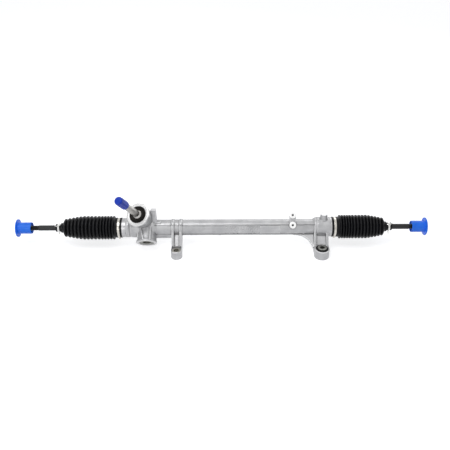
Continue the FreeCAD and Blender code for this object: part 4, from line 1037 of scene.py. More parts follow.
@dataclass
class Housing:
    """The cast housing with its tower, yoke case, lugs and machined faces.

    Lengths are in millimetres. Places along the tube are measured from the left lug. Raw
    stock stands on the faces that are milled off flat at the end.
    """

    voxel: float = 1.15
    fillet_factor: float = 0.5
    fillet_passes: int = 5
    round_segments: int = 128
    rib_segments: int = 96
    small_segments: int = 64

    tube_radius: float = 22.2
    bore_radius: float = 16.5
    socket_radius: float = 18.8
    bore_span: Point = (-150.5, 428.5)
    left_end: float = -152.0
    right_end: float = 430.0
    spigot_radius: float = 25.0
    spigot_length: float = 14.0
    end_radius: float = 26.8
    end_width: float = 11.0
    groove_width: float = 2.0
    groove_radius: float = 25.4
    left_body_radius: float = 27.5
    left_body_end: float = -56.0
    left_body_taper: float = 10.0
    left_body_step: float = 1.5
    left_step_span: Point = (9.0, 14.0)
    collar_radius: float = 28.0
    collar_start: float = 383.0
    collar_steps: Point = (4.0, 2.5)
    collar_step: float = 1.4

    mesh_place: float = -84.0
    tower_rim: float = 32.5
    tower_neck: float = 30.0
    tower_foot: float = 22.0
    tower_foot_chamfer: float = 4.0
    tower_flare: float = 12.0
    tower_height: float = 66.0
    tower_depth: float = 38.0
    rim_height: float = 11.0
    rim_slope: float = 1.6
    rim_chamfer: float = 1.2
    pinion_bore_start: float = -34.0
    pinion_bores: tuple[Point, ...] = ((11.05, -18.0), (12.3, 26.0), (21.05, 50.0), (24.05, 67.0))
    seal_radius: float = 24.05

    yoke_radius: float = 27.4
    yoke_length: float = 45.0
    yoke_rim: float = 28.9
    yoke_rim_height: float = 5.0
    yoke_rim_slope: float = 1.5
    yoke_tilt: float = 38.6
    yoke_bore: float = 17.05
    plug_radius: float = 20.55
    plug_seat: float = 31.0
    case_ribs: tuple[Point, ...] = ((-22.9, 19.0), (12.2, 28.3))
    case_rib_half: float = 1.8
    case_rib_span: Point = (4.0, 43.0)
    slanted_rib: tuple[Point, Point] = ((-16.4, 0.0), (-12.4, 29.6))
    slanted_rib_span: Point = (10.0, 42.0)
    slanted_rib_shift: float = 7.3

    gusset_radius: float = 47.0
    gusset_gap: float = 2.0
    gusset_lead: float = 6.0
    gusset_half: float = 3.5
    gusset_steps: int = 12
    gusset_share: float = 0.8

    stock: float = 3.0
    mill_depth: float = 8.0
    mill_halves: tuple[float, ...] = (32.0, 14.0, 14.0, 13.0)
    overrun: float = 1.0
    drill_segments: int = 48
    facing_cut: tuple[Point, Point] = ((-60.0, -40.0), (60.0, 90.0))
    facing_depth: float = 30.0
    keel: tuple[Point, Point] = ((1.0, -38.0), (9.0, -11.0))
    keel_span: Point = (-71.5, -11.0)
    post_place: float = -62.0
    post_back: float = 4.0
    post: tuple[Point, Point] = ((-7.5, -6.5), (7.5, 6.5))
    post_span: Point = (8.0, 62.0)
    post_foot: tuple[Point, Point] = ((-7.5, -7.0), (17.0, 4.0))
    post_foot_span: Point = (12.0, 23.0)
    stub_place: float = 407.0
    stub_back: float = 2.0
    stub_radius: float = 9.8
    stub_span: Point = (8.0, 44.5)

    pad_place: float = 321.0
    pad_proud: float = 27.0
    pad_tilt: float = 34.0
    pad_half: float = 9.2
    pad_span: Point = (-10.0, -0.8)
    eye_radius: float = 9.1
    eye_bore: float = 3.0
    eye_bore_depth: float = 10.0
    eye_heights: Point = (4.5, 32.5)
    eye_depths: Point = (10.4, 12.0)

    seam_angles: Triple = (46.0, -26.0, 200.0)
    seam_span: Point = (-28.0, 384.0)
    seam_root: float = 18.0
    seam_foot: float = 1.6
    seam_top: float = 0.9
    seam_height: float = 0.9
    flat_angle: float = 11.0
    flat_half: float = 10.5
    flat_height: float = 22.3
    flat_span: Point = (231.0, 286.0)
    ejector_marks: tuple[Point, ...] = ((352, -24), (40, -38), (52, -38), (172, -33), (120, -50))
    ejector_radius: float = 2.6
    ejector_height: float = 1.1
    ejector_segments: int = 24

    rough_span: Point = (0.132, 0.229)
    rough_angles: Point = (-26.0, 44.0)
    rough_fade: float = 0.004
    rough_scale: float = 260.0
    rough_octaves: int = 3
    rough_height: float = 0.55
    rough_sink: float = 0.25

    face_proud: float = 0.1
    rim_face_cover: float = 0.25
    rim_face_proud: float = 0.2
    rim_face_depth: float = 9.0
    rim_face_round: float = 1.1
    end_face_cover: float = 0.3
    end_face_depth: float = 2.5
    end_face_round: float = 0.8
    eye_face_cover: float = 0.2
    eye_face_span: Point = (-1.5, 0.35)
    eye_face_round: float = 0.5
    spot_face_radius: float = 12.2
    spot_face_span: Point = (21.2, 22.15)
    # A thin darker liner on the left lug's bore wall, as painted shade in the bore.
    bore_shade_liner: Point = (6.8, 7.1)
    bore_shade_liner_start: float = 0.6
    spot_round: float = 0.25
    spot_segments: int = 72

    left_lug: Lug = Lug(place=0.0, width=29.0, rib=7.0, boss_radius=15.5, boss_height=22.0,
                        bore_radius=7.0, stock=3.0)
    right_lug: Lug = Lug(place=400.0, width=40.0, rib=6.5, boss_radius=20.5, boss_height=26.0,
                         bore_radius=17.55)

    @property
    def reach(self) -> float:
        """Distance of the rack's axis behind the lug bores."""
        return RACK_HEIGHT.y / MM

    @property
    def height(self) -> float:
        """Height of the rack's axis over the mounting faces."""
        return RACK_HEIGHT.z / MM

    def along_rack(self) -> Matrix:
        """Frame with Z along the tube and X up, from the left lug's place."""
        return Axis(Vector(RACK_AXIS_POINT), RIGHTWARD).matrix()

    def across_rack(self) -> Matrix:
        """Frame with X back, Y up and Z along the tube."""
        return local_frame(RACK_AXIS_POINT, BACKWARD, UP, RIGHTWARD)

    def tower_frame(self) -> Matrix:
        """Frame with Z along the pinion's axis."""
        return PINION.matrix()

    def yoke_frame(self) -> Matrix:
        """Frame with Z away from the rack, opposite the pinion."""
        centre = Vector(RACK_AXIS_POINT) + RIGHTWARD * self.mesh_place * MM
        return Axis(centre, leaning(-self.yoke_tilt)[0], RIGHTWARD).matrix()

    def upright(self, across: float, back: float, height: float = 0.0) -> Matrix:
        """Frame with Z up, at a point of the mounting plane."""
        return Matrix.Translation(Vector((across, back, height)) * MM) @ Matrix.Scale(MM, 4)

    def lug_frame(self, lug: Lug) -> Matrix:
        """Frame with Z up a lug's bolt."""
        return self.upright(lug.place, 0)

    def post_frame(self) -> Matrix:
        """Frame with Z up the post."""
        return self.upright(self.post_place, self.reach - self.post_back, self.height)

    def stub_frame(self) -> Matrix:
        """Frame with Z up the stub."""
        return self.upright(self.stub_place, self.reach - self.stub_back, self.height)

    def pad_frame(self) -> Matrix:
        """Finds the frame of the two-eyed pad.

        Returns:
            The frame, with Y up its face and Z out of it.
        """
        out, rise = leaning(self.pad_tilt)
        origin = Vector(RACK_AXIS_POINT) + RIGHTWARD * self.pad_place * MM
        return local_frame(origin + out * self.pad_proud * MM, RIGHTWARD, rise, out)

    def eye_frame(self, height: float) -> Matrix:
        """Frame of one eye of the pad."""
        return self.pad_frame() @ Matrix.Translation((0, height, 0))

    def seam_frame(self, degrees: float) -> Matrix:
        """Frame with Z along the tube and Y out of it, at an angle over the front."""
        out, _ = leaning(degrees)
        return Axis(Vector(RACK_AXIS_POINT), RIGHTWARD, out.cross(RIGHTWARD)).matrix()

    def tube(self, cast: Solid) -> None:
        """Adds the tube with its end rings and the collar.

        Args:
            cast: The casting under way.
        """
        left, right = self.left_end, self.right_end
        ring = left + self.end_width
        step_start, step_end = self.left_step_span
        first = self.collar_start + self.collar_steps[0]
        second = first + self.collar_steps[1]
        right_ring = right - self.end_width / 2
        left_half = stepped(left - self.spigot_length, [
            (self.spigot_radius, left),
            (self.end_radius, ring),
            (self.groove_radius, ring + self.groove_width),
            (self.left_body_radius, ring + step_start),
            (self.left_body_radius - self.left_body_step, ring + step_end),
            (self.left_body_radius, self.left_body_end - self.left_body_taper),
        ])
        right_half = stepped(self.left_body_end, [
            (self.tube_radius, self.collar_start),
            (self.collar_radius - self.collar_step, first),
            (self.collar_radius - 2 * self.collar_step, second),
            (self.collar_radius, right_ring),
            (self.end_radius, right),
            (self.spigot_radius, right + self.spigot_length),
        ])
        cast.place = self.along_rack()
        cast.turn(left_half[:-1] + right_half[1:], self.round_segments)

    def tower(self, cast: Solid) -> None:
        """Adds the pinion's tower and the yoke's case.

        Args:
            cast: The casting under way.
        """
        top = self.tower_height
        bottom = -self.tower_depth
        rim = top - self.rim_height
        cast.place = self.tower_frame()
        cast.turn(
            [
                (0, bottom),
                (self.tower_foot - self.tower_foot_chamfer, bottom),
                (self.tower_foot, bottom + self.tower_foot_chamfer),
                (self.tower_foot, self.tower_flare),
                (self.tower_neck, rim - self.rim_height),
                (self.tower_neck, rim),
                (self.tower_rim, rim + self.rim_slope),
                (self.tower_rim, top - self.rim_chamfer),
                (self.tower_rim - self.rim_chamfer, top),
                (0, top),
            ],
            self.round_segments,
        )
        end = self.yoke_length + self.stock
        rim = self.yoke_length - self.yoke_rim_height
        cast.place = self.yoke_frame()
        cast.turn([(0, 0), (self.yoke_radius, 0), (self.yoke_radius, rim - self.yoke_rim_slope),
                   (self.yoke_rim, rim), (self.yoke_rim, end), (0, end)], self.round_segments)
        half = self.case_rib_half
        for across, height in self.case_ribs:
            cast.prism(rectangle((across - half, 0), (across + half, height)),
                       *self.case_rib_span)
        cast.prism(rectangle(*self.slanted_rib), *self.slanted_rib_span, self.slanted_rib_shift)

    def lug(self, cast: Solid, lug: Lug) -> None:
        """Adds one forward lug.

        Args:
            cast: The casting under way.
            lug: The lug.
        """
        drop = -self.height
        top = drop + lug.boss_height
        wrap = lug.wrap_radius
        beside = wrap * math.sin(math.radians(lug.wrap_angle))
        above = wrap * math.cos(math.radians(lug.wrap_angle))
        front = -self.reach + lug.boss_radius * lug.shoulder_share
        side_view = [(-beside, above), (front, top), (-self.reach, top), (-self.reach, drop),
                     (-self.reach + lug.boss_radius, drop), (beside, -above)]
        for sign in (-1, 1):
            middle = lug.place + sign * lug.half
            low, high = middle - lug.rib / 2, middle + lug.rib / 2
            cast.place = self.along_rack()
            cast.turn(rectangle((0, low), (wrap, high)), self.rib_segments)
            cast.place = self.across_rack()
            cast.prism(side_view, low, high)
        web_top = top - lug.web_drop
        cast.prism([(-self.tube_radius / 2, 0), (front, web_top), (front, web_top - lug.web_depth),
                    (0, -self.tube_radius / 2 - lug.web_drop)],
                   lug.place - lug.half, lug.place + lug.half)
        cast.place = self.lug_frame(lug)
        boss = rectangle((0, -self.stock), (lug.boss_radius, lug.boss_height + lug.stock))
        cast.turn(boss, self.rib_segments)

    def gusset(self, cast: Solid) -> None:
        """Adds the hollowed web that runs from the tube to the right lug.

        Args:
            cast: The casting under way.
        """
        lug = self.right_lug
        tilt = math.atan((self.height - lug.boss_height / 2) / self.reach)
        rise = Vector((0, math.cos(tilt), math.sin(tilt)))
        cast.place = local_frame(RACK_AXIS_POINT, RIGHTWARD, rise, RIGHTWARD.cross(rise))
        end = lug.place - lug.half
        radius = self.gusset_radius
        centre = (end - lug.rib - radius, -self.tube_radius - self.gusset_gap - radius)
        lead = centre[0] - self.gusset_lead
        slant = self.reach / math.cos(tilt)
        outline = [(lead, -self.tube_radius / 2), (lead, centre[1] + radius)]
        outline += arc(centre, radius, (math.pi / 2, 0), self.gusset_steps)
        outline += [(end - lug.rib, -slant + lug.boss_radius * self.gusset_share),
                    (end, -slant + lug.boss_radius / 2), (end, -self.tube_radius / 2)]
        cast.prism(outline, -self.gusset_half, self.gusset_half)

    def small_forms(self, cast: Solid) -> None:
        """Adds the keel, the post, the stub and the pad.

        Args:
            cast: The casting under way.
        """
        cast.place = self.across_rack()
        cast.prism(rectangle(*self.keel), *self.keel_span)
        cast.place = self.post_frame()
        cast.prism(rectangle(*self.post), self.post_span[0], self.post_span[1] + self.stock)
        cast.prism(rectangle(*self.post_foot), *self.post_foot_span)
        cast.place = self.stub_frame()
        foot, top = self.stub_span
        cast.turn(rectangle((0, foot), (self.stub_radius, top + self.stock)), self.small_segments)
        low, high = self.eye_heights
        cast.place = self.pad_frame()
        cast.prism(rectangle((-self.pad_half, low), (self.pad_half, high)), *self.pad_span)
        for height, depth in zip(self.eye_heights, self.eye_depths):
            cast.place = self.eye_frame(height)
            cast.turn(rectangle((0, -depth), (self.eye_radius, 0)), self.small_segments)

    def mould_marks(self, cast: Solid) -> None:
        """Adds the parting lines, a moulded flat and the ejector marks on the tube.

        Args:
            cast: The casting under way.
        """
        height = self.tube_radius + self.seam_height
        for degrees in self.seam_angles:
            cast.place = self.seam_frame(degrees)
            cast.prism([(-self.seam_foot, self.seam_root), (self.seam_foot, self.seam_root),
                        (self.seam_top, height), (-self.seam_top, height)], *self.seam_span)
        cast.place = self.seam_frame(self.flat_angle)
        cast.prism(rectangle((-self.flat_half, 0), (self.flat_half, self.flat_height)),
                   *self.flat_span)
        upended = Matrix.Rotation(math.radians(-90), 4, "X")
        mark = rectangle((0, self.seam_root),
                         (self.ejector_radius, self.tube_radius + self.ejector_height))
        for across, degrees in self.ejector_marks:
            cast.place = self.seam_frame(degrees) @ upended @ Matrix.Translation((0, -across, 0))
            cast.turn(mark, self.ejector_segments)

    def roughen(self, piece: bpy.types.Object) -> None:
        """Gives the front of the tube its coarse patch of as-cast skin.

        Args:
            piece: The casting, in one skin.
        """
        centre = Vector(RACK_AXIS_POINT)
        start, end = self.rough_span
        low, high = self.rough_angles
        for vertex in piece.data.vertices:
            spot = vertex.co
            if not start < spot.x < end:
                continue
            if not low < math.degrees(math.atan2(spot.z - centre.z, centre.y - spot.y)) < high:
                continue
            fade = min(1.0, (spot.x - start) / self.rough_fade, (end - spot.x) / self.rough_fade)
            out = Vector((0, spot.y - centre.y, spot.z - centre.z)).normalized()
            grain = noise.fractal(spot * self.rough_scale, 1.0, 2.0, self.rough_octaves)
            vertex.co = spot + out * (grain * self.rough_height - self.rough_sink) * fade * MM

    def bores(self) -> list[bpy.types.Object]:
        """Makes the tools that bore the casting.

        Returns:
            The tools for the rack, the pinion and the yoke.
        """
        left = self.left_end - self.spigot_length - self.overrun
        right = self.right_end + self.spigot_length + self.overrun
        bush_start, bush_end = self.bore_span
        sections = {
            "rack_tool": (self.along_rack(), left, [
                (self.socket_radius, bush_start), (self.bore_radius, bush_end),
                (self.socket_radius, right)]),
            "pinion_tool": (self.tower_frame(), self.pinion_bore_start, self.pinion_bores),
            "yoke_tool": (self.yoke_frame(), 0, [
                (self.yoke_bore, self.plug_seat),
                (self.plug_radius, self.yoke_length + self.overrun)]),
        }
        return [Solid(place).turn(stepped(start, steps)).finished(name)
                for name, (place, start, steps) in sections.items()]

    def mills(self) -> list[bpy.types.Object]:
        """Makes the tools that drill the lugs and the pad and mill the raw stock off.

        Returns:
            The tools.
        """
        tools = []
        for lug in (self.left_lug, self.right_lug):
            bore = rectangle((0, -self.overrun), (lug.bore_radius, lug.boss_height + self.overrun))
            place = self.lug_frame(lug)
            tools.append(Solid(place).turn(bore, self.small_segments)
                         .finished(f"bolt_tool_{lug.place:.0f}"))
            tools.append(Solid(place).prism(rectangle(*self.facing_cut), -self.facing_depth, 0)
                         .finished(f"face_tool_{lug.place:.0f}"))
        faces = (
            ("yoke", self.yoke_frame(), self.yoke_length),
            ("post", self.post_frame(), self.post_span[1]),
            ("stub", self.stub_frame(), self.stub_span[1]),
            ("left_boss", self.lug_frame(self.left_lug), self.left_lug.boss_height),
        )
        for (name, place, face), half in zip(faces, self.mill_halves):
            mill = Solid(place).prism(rectangle((-half, -half), (half, half)), face,
                                      face + self.mill_depth)
            tools.append(mill.finished(f"mill_tool_{name}"))
        for height in self.eye_heights:
            hole = rectangle((0, -self.eye_bore_depth), (self.eye_bore, self.overrun))
            tools.append(Solid(self.eye_frame(height)).turn(hole, self.drill_segments)
                         .finished(f"eye_tool_{height:.0f}"))
        return tools

    def casting(self) -> bpy.types.Object:
        """Casts the housing in one skin with filleted joints, then bores it.

        Returns:
            The finished casting.
        """
        cast = Solid(Matrix.Identity(4))
        self.tube(cast)
        self.tower(cast)
        self.lug(cast, self.left_lug)
        self.lug(cast, self.right_lug)
        self.gusset(cast)
        self.small_forms(cast)
        self.mould_marks(cast)
        piece = cast.finished("housing_casting")
        skin = piece.modifiers.new("skin", "REMESH")
        skin.mode = "VOXEL"
        skin.voxel_size = self.voxel * MM
        fillet = piece.modifiers.new("fillet", "SMOOTH")
        fillet.factor = self.fillet_factor
        fillet.iterations = self.fillet_passes
        applied(piece)
        self.roughen(piece)
        tools = self.bores() + self.mills()
        for tool in tools:
            cut = piece.modifiers.new(tool.name, "BOOLEAN")
            cut.operation = "DIFFERENCE"
            cut.solver = "MANIFOLD"
            cut.object = tool
        applied(piece)
        for tool in tools:
            bpy.data.objects.remove(tool)
        smooth(piece)
        return dress(piece, CASTING, "housing", ["rack_housing"])

    def turned_face(
        self, name: str, place: Matrix, section: Sequence[Point], finish: Finish, segments: int
    ) -> None:
        """Adds one bright turned face.

        Args:
            name: Name of the piece.
            place: Frame with Z along its axis.
            section: Its half section.
            finish: Its finish.
            segments: Number of faces round the axis.
        """
        piece = Solid(place).turn(section, segments).finished(name)
        dress(piece, finish, "housing")

    def machined_faces(self) -> None:
        """Adds the bright turned faces that the casting's bores end in, and a darker liner in the
        left lug's bore as painted shade.
        """
        top = self.tower_height
        rim = rectangle((self.seal_radius + self.face_proud, top - self.rim_face_depth),
                        (self.tower_rim + self.rim_face_cover, top + self.rim_face_proud))
        self.turned_face("tower_rim_face", self.tower_frame(), rounded(rim, self.rim_face_round),
                         TOWER_TURNED, self.round_segments)
        inner = self.end_radius - self.end_face_depth
        outer = self.end_radius + self.end_face_cover
        for name, low, high in (
            ("left_end_ring", self.left_end - self.face_proud, self.left_end + self.end_width),
            ("right_end_ring", self.right_end - self.end_width / 2,
             self.right_end + self.face_proud),
        ):
            ring = rounded(rectangle((inner, low), (outer, high)), self.end_face_round)
            self.turned_face(name, self.along_rack(), ring, RACK_TURNED, self.round_segments)
        low, high = self.eye_face_span
        face = rounded(rectangle((self.eye_bore + self.face_proud, low),
                                 (self.eye_radius + self.eye_face_cover, high)),
                       self.eye_face_round)
        for name, height in zip(("lower_eye_face", "upper_eye_face"), self.eye_heights):
            place = self.eye_frame(height)
            finish = replace(EYE_TURNED, name=f"{name}_metal", centre=tuple(place.translation),
                             axis=tuple(place.to_3x3().col[2].normalized()))
            self.turned_face(name, place, face, finish, self.small_segments)
        # The liner down the left lug's bore is painted shade: a darker sheet on the bore wall.
        bore, sleeve = self.bore_shade_liner
        under, top = self.spot_face_span
        spot = [(bore, self.bore_shade_liner_start), (sleeve, self.bore_shade_liner_start), (sleeve, under),
                (self.spot_face_radius, under), (self.spot_face_radius, top), (bore, top)]
        self.turned_face("left_lug_spot_face", self.lug_frame(self.left_lug),
                         rounded(spot, self.spot_round), SPOT_FACED, self.spot_segments)

    def build(self) -> None:
        """Builds the casting and its machined faces."""
        self.casting()
        self.machined_faces()


# Boots and their clamps.
@dataclass
class Bellows:
    """A boot in three pieces that meet in valleys.

    The pieces are built in place and carried by no body. Lengths are in millimetres from the
    housing's shoulder.
    """

    side: Side
    waist_ridge: int
    tail_ridge: int
    ridges: int = 15
    close_ridges: int = 5
    close_share: float = 0.8
    crest: float = 33.2
    tail_crest: float = 24.4
    taper_ridges: int = 6
    taper_power: float = 1.25
    depth: float = 5.2
    valley_sharpness: float = 1.9
    wall: float = 1.0
    spigot_radius: float = 25.05
    spigot_gap: float = 0.3
    collar_radius: float = 28.2
    collar_length: float = 17.0
    collar_round: float = 0.6
    band_width: float = 8.0
    band_depth: float = 1.0
    step_radius: float = 14.0
    step_length: float = 9.0
    step_flare: float = 3.5
    step_slope: float = 3.2
    step_lead: float = 1.0
    neck_radius: float = 10.4
    neck_length: float = 14.0
    neck_lead: float = 0.6
    lip_height: float = 0.7
    lip_width: float = 2.6
    tail_round: float = 0.7
    bore: float = 8.55
    stretch_start: float = 14.0
    samples: int = 12
    segments: int = 112

    def __post_init__(self) -> None:
        """Reads the boot's place and length from the frame."""
        low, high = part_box(self.side.node("boot"))
        self.span = (high.x - low.x) / MM - self.neck_length
        self.matrix = Axis(shoulder(self.side), self.side.outward).matrix()

    def valleys(self) -> list[float]:
        """Finds the valleys, from the collar to the step.

        Returns:
            Their places along the boot.
        """
        first = self.collar_length + self.depth / 2
        last = self.span - self.step_length
        shares = [self.close_share if number < self.close_ridges else 1
                  for number in range(self.ridges)]
        unit = (last - first) / sum(shares)
        places = [first]
        for share in shares:
            places.append(places[-1] + unit * share)
        return places

    def crest_radius(self, ridge: int) -> float:
        """Radius of one ridge, smaller towards the tie rod."""
        share = max(0.0, (ridge - self.ridges + self.taper_ridges) / (self.taper_ridges - 0.5))
        return self.crest - (self.crest - self.tail_crest) * share ** self.taper_power

    def valley_radius(self, ridge: int) -> float:
        """Radius of the valley at the start of a ridge."""
        here = self.crest_radius(min(ridge, self.ridges - 1))
        return (here + self.crest_radius(max(ridge - 1, 0))) / 2 - self.depth

    def ridge_line(self, first: int, last: int) -> list[Point]:
        """Draws the outer line over some of the ridges, from valley to valley.

        Args:
            first: The first ridge.
            last: The ridge after the last.

        Returns:
            The line's points, without the last valley.
        """
        places = self.valleys()
        line: list[Point] = []
        for ridge in range(first, last):
            low, high = places[ridge], places[ridge + 1]
            top = self.crest_radius(ridge)
            for step in range(self.samples):
                share = step / self.samples
                foot = self.valley_radius(ridge if share < 0.5 else ridge + 1)
                fall = (0.5 + 0.5 * math.cos(FULL_TURN * share)) ** self.valley_sharpness
                line.append((top - (top - foot) * fall, low + (high - low) * share))
        return line

    def inner_line(self, last: int, first: int) -> list[Point]:
        """Draws the inner line back from valley to valley.

        Args:
            last: The valley that it starts from.
            first: The valley that it ends at.

        Returns:
            The line's points.
        """
        places = self.valleys()
        return [(self.valley_radius(ridge) - self.wall, places[ridge])
                for ridge in range(last, first - 1, -1)]

    def collar_line(self) -> list[Point]:
        """Draws the collar's outer line, with the groove for its clamp.

        Returns:
            The line's points, from the spigot to the first valley.
        """
        low = (self.collar_length - self.band_width) / 2
        high = low + self.band_width
        inner, outer = self.spigot_radius, self.collar_radius
        seat = outer - self.band_depth
        corners = [(inner, self.spigot_gap), (outer, self.spigot_gap), (outer, low), (seat, low),
                   (seat, high), (outer, high), (outer, self.collar_length),
                   (inner, self.collar_length)]
        return rounded(corners, self.collar_round)[:-CORNER_POINTS]

    def skin(
        self, name: str, profile: Sequence[Point], bodies: tuple[str, str], stretch: Point,
        replacing: Iterable[str] = (),
    ) -> None:
        """Moulds one piece and gives it its material.

        Args:
            name: Name of the piece, without its side.
            profile: Its half section.
            bodies: Not used.
            stretch: Not used.
            replacing: The CAD nodes that it stands for.
        """
        piece = Solid(self.matrix).turn(profile, self.segments).finished(self.side.node(name))
        dress(piece, BOOT_RUBBER, None, replacing)
        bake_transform(piece)

    def stretching(self) -> None:
        """Builds the first piece, from the collar to the waist."""
        end = self.valleys()[self.waist_ridge]
        profile = self.collar_line() + self.ridge_line(0, self.waist_ridge)
        profile.append((self.valley_radius(self.waist_ridge), end))
        profile += self.inner_line(self.waist_ridge, 1)
        profile.append((self.spigot_radius, self.collar_length))
        self.skin("boot_bellows", profile, ("housing", "rack"), (self.stretch_start, end),
                  [self.side.node("boot")])

    def turning(self) -> None:
        """Builds the second piece, from the waist to the tail."""
        places = self.valleys()
        low, high = places[self.waist_ridge], places[self.tail_ridge]
        profile = self.ridge_line(self.waist_ridge, self.tail_ridge)
        profile.append((self.valley_radius(self.tail_ridge), high))
        profile += self.inner_line(self.tail_ridge, self.waist_ridge)
        self.skin("boot_waist", profile, ("rack", self.side.node("seat")), (low, high))

    def tail(self) -> None:
        """Builds the third piece, from the tail to the neck on the tie rod."""
        places = self.valleys()
        low, small = places[self.tail_ridge], places[-1]
        edge = (self.valley_radius(self.tail_ridge) - self.wall, low)
        step, neck = self.step_radius, self.neck_radius
        neck_end = self.span + self.neck_length
        lip_start = neck_end - self.lip_width
        corners = [
            (step + self.step_flare, small),
            (step, small + self.step_slope),
            (step, self.span - self.step_lead),
            (neck, self.span + self.neck_lead),
            (neck, lip_start),
            (neck + self.lip_height, lip_start),
            (neck + self.lip_height, neck_end),
            (self.bore, neck_end),
            (self.bore, self.span),
            (step - self.wall, self.span - self.wall - self.step_lead),
            (step - self.wall, small),
            edge,
        ]
        profile = self.ridge_line(self.tail_ridge, self.ridges)
        profile += rounded(corners, self.tail_round)[CORNER_POINTS:-CORNER_POINTS] + [edge]
        self.skin("boot_tail", profile, (self.side.node("seat"), self.side.node("rod")),
                  (low, self.span))

    def build(self) -> None:
        """Builds the three pieces."""
        self.stretching()
        self.turning()
        self.tail()


@dataclass
class BandClamp:
    """The ear clamp on a boot's collar: a crowned band, its lapped end and a pinched ear."""

    side: Side
    radius: float = 27.25
    wall: float = 0.8
    width: float = 6.2
    middle: float = 8.5
    crown: float = 0.15
    band_round: float = 0.35
    lap_angles: Point = (0.35, 1.5)
    lap_steps: int = 24
    lap_rise: float = 1.85
    lap_runout: float = 1.4
    lap_end_rise: float = 1.3
    lap_margin: float = 0.4
    ear_height: float = 4.3
    ear_half: float = 3.4
    ear_lip_share: float = 0.55
    ear_lip_round: float = 0.6
    ear_width: float = 5.0
    ear_root: float = 0.5
    ear_crown: float = 1.0
    ear_pinch: float = 1.2
    ear_round: float = 0.4
    ear_toward: Triple = (0.0, -0.56, -0.83)
    segments: int = 112

    def band(self) -> list[Point]:
        """Draws the band's half section.

        Returns:
            The section, a little proud in the middle.
        """
        inner, outer = self.radius, self.radius + self.wall
        low, high = self.middle - self.width / 2, self.middle + self.width / 2
        return rounded([(inner, low), (outer, low), (outer + self.crown, self.middle),
                        (outer, high), (inner, high)], self.band_round)

    def lap(self) -> list[Point]:
        """Draws the band's lapped end, which runs out at its far end.

        Returns:
            Its outline, seen along the rack.
        """
        start, end = self.lap_angles
        angles = [start + (end - start) * step / self.lap_steps
                  for step in range(self.lap_steps + 1)]
        rim = [(self.radius, angle) for angle in angles]
        for angle in reversed(angles):
            rise = self.lap_rise if angle < self.lap_runout else self.lap_end_rise
            rim.append((self.radius + self.wall * rise, angle))
        return [(radius * math.cos(angle), radius * math.sin(angle)) for radius, angle in rim]

    def ear(self) -> list[Point]:
        """Draws the pinched ear.

        Returns:
            Its outline, seen along the rack.
        """
        root = self.radius + self.wall - self.ear_root
        tip = self.radius + self.wall + self.ear_height
        half, lip, wall = self.ear_half, self.ear_half * self.ear_lip_share, self.wall
        crown, top = tip - self.ear_crown, lip - self.ear_lip_round
        return rounded([(root, -half), (crown, -lip), (tip, -top), (tip, top), (crown, lip),
                        (root, half), (root, half - wall), (tip - self.ear_pinch, lip - wall),
                        (tip - wall, 0), (tip - self.ear_pinch, -lip + wall),
                        (root, -half + wall)], self.ear_round)

    def build(self) -> None:
        """Builds the clamp."""
        axis = Axis(shoulder(self.side), self.side.outward, Vector(self.ear_toward))
        lap_half = self.width / 2 - self.lap_margin
        solid = Solid(axis.matrix()).turn(self.band(), self.segments)
        solid.prism(self.lap(), self.middle - lap_half, self.middle + lap_half)
        solid.prism(self.ear(), self.middle - self.ear_width / 2, self.middle + self.ear_width / 2)
        dress(solid.finished(self.side.node("boot_band_clamp")), BRIGHT_CLAMP,
              "housing", [self.side.node("boot_band")])


@dataclass
class SpringClip:
    """The wire clip on a boot's neck, with two spread ends and a looped back.

    Attributes:
        ear: Bends of a spread end: rise over the ring, place aside and along.
        tail: Bends of half the looped back, in the same way.
    """

    side: Side
    wire: float = 1.3
    radius: float = 11.6
    gap: float = 2.7
    ear_lean: float = 57.0
    ear: tuple[Triple, ...] = ((7.5, 1.6, 7.0), (4.5, 1.5, 5.25), (1.0, 1.0, 1.62))
    tail: tuple[Triple, ...] = ((-0.5, 0.0, 1.35), (3.0, 0.3, 1.35), (9.0, 0.5, 0.9))
    tail_toward: Triple = (0.0, -0.56, -0.83)
    neck_length: float = 14.0
    neck_lead: float = 1.0
    opening: float = 0.1
    cuts: int = 2
    cut_share: float = 0.25
    steps: int = 56

    def build(self) -> None:
        """Builds the clip as one bent wire."""
        low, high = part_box(self.side.node("boot"))
        middle = (high.x - low.x) / MM - self.neck_length / 2 - self.neck_lead
        foot, outward = shoulder(self.side), self.side.outward
        solid = Solid(Axis(foot, outward, leaning(self.ear_lean)[0]).matrix())
        for sign in (-1, 1):
            solid.sweep(self.turn_of_wire(sign, middle), self.wire)
        solid.place = Axis(foot, outward, Vector(self.tail_toward)).matrix()
        near = [Vector((self.radius + rise, aside, middle - along))
                for rise, aside, along in self.tail]
        far = [Vector((spot.x, spot.y, 2 * middle - spot.z)) for spot in reversed(near)]
        solid.sweep(self.eased(near + far), self.wire)
        dress(solid.finished(self.side.node("boot_wire_clip")), BRIGHT_WIRE,
              self.side.node("rod"), [self.side.node("boot_clip")])

    def turn_of_wire(self, sign: int, middle: float) -> list[Vector]:
        """Bends one wire: its spread end, then most of the way round the neck.

        Args:
            sign: Which of the two wires.
            middle: Place of the clip's middle along the boot.

        Returns:
            The wire's path.
        """
        path = [Vector((self.radius + rise, -sign * aside, middle + sign * along))
                for rise, aside, along in self.ear]
        ends = (self.opening, FULL_TURN - self.opening)
        path += [Vector((across, sign * side, middle + sign * self.gap / 2))
                 for across, side in arc((0, 0), self.radius, ends, self.steps)]
        return self.eased(path)

    def eased(self, path: list[Vector]) -> list[Vector]:
        """Rounds a path's bends by cutting its corners off, again and again.

        Args:
            path: The path.

        Returns:
            The rounded path, with the same ends.
        """
        for _ in range(self.cuts):
            cut = [path[0]]
            for here, following in zip(path, path[1:]):
                cut += [here.lerp(following, self.cut_share),
                        here.lerp(following, 1 - self.cut_share)]
            path = cut + [path[-1]]
        return path


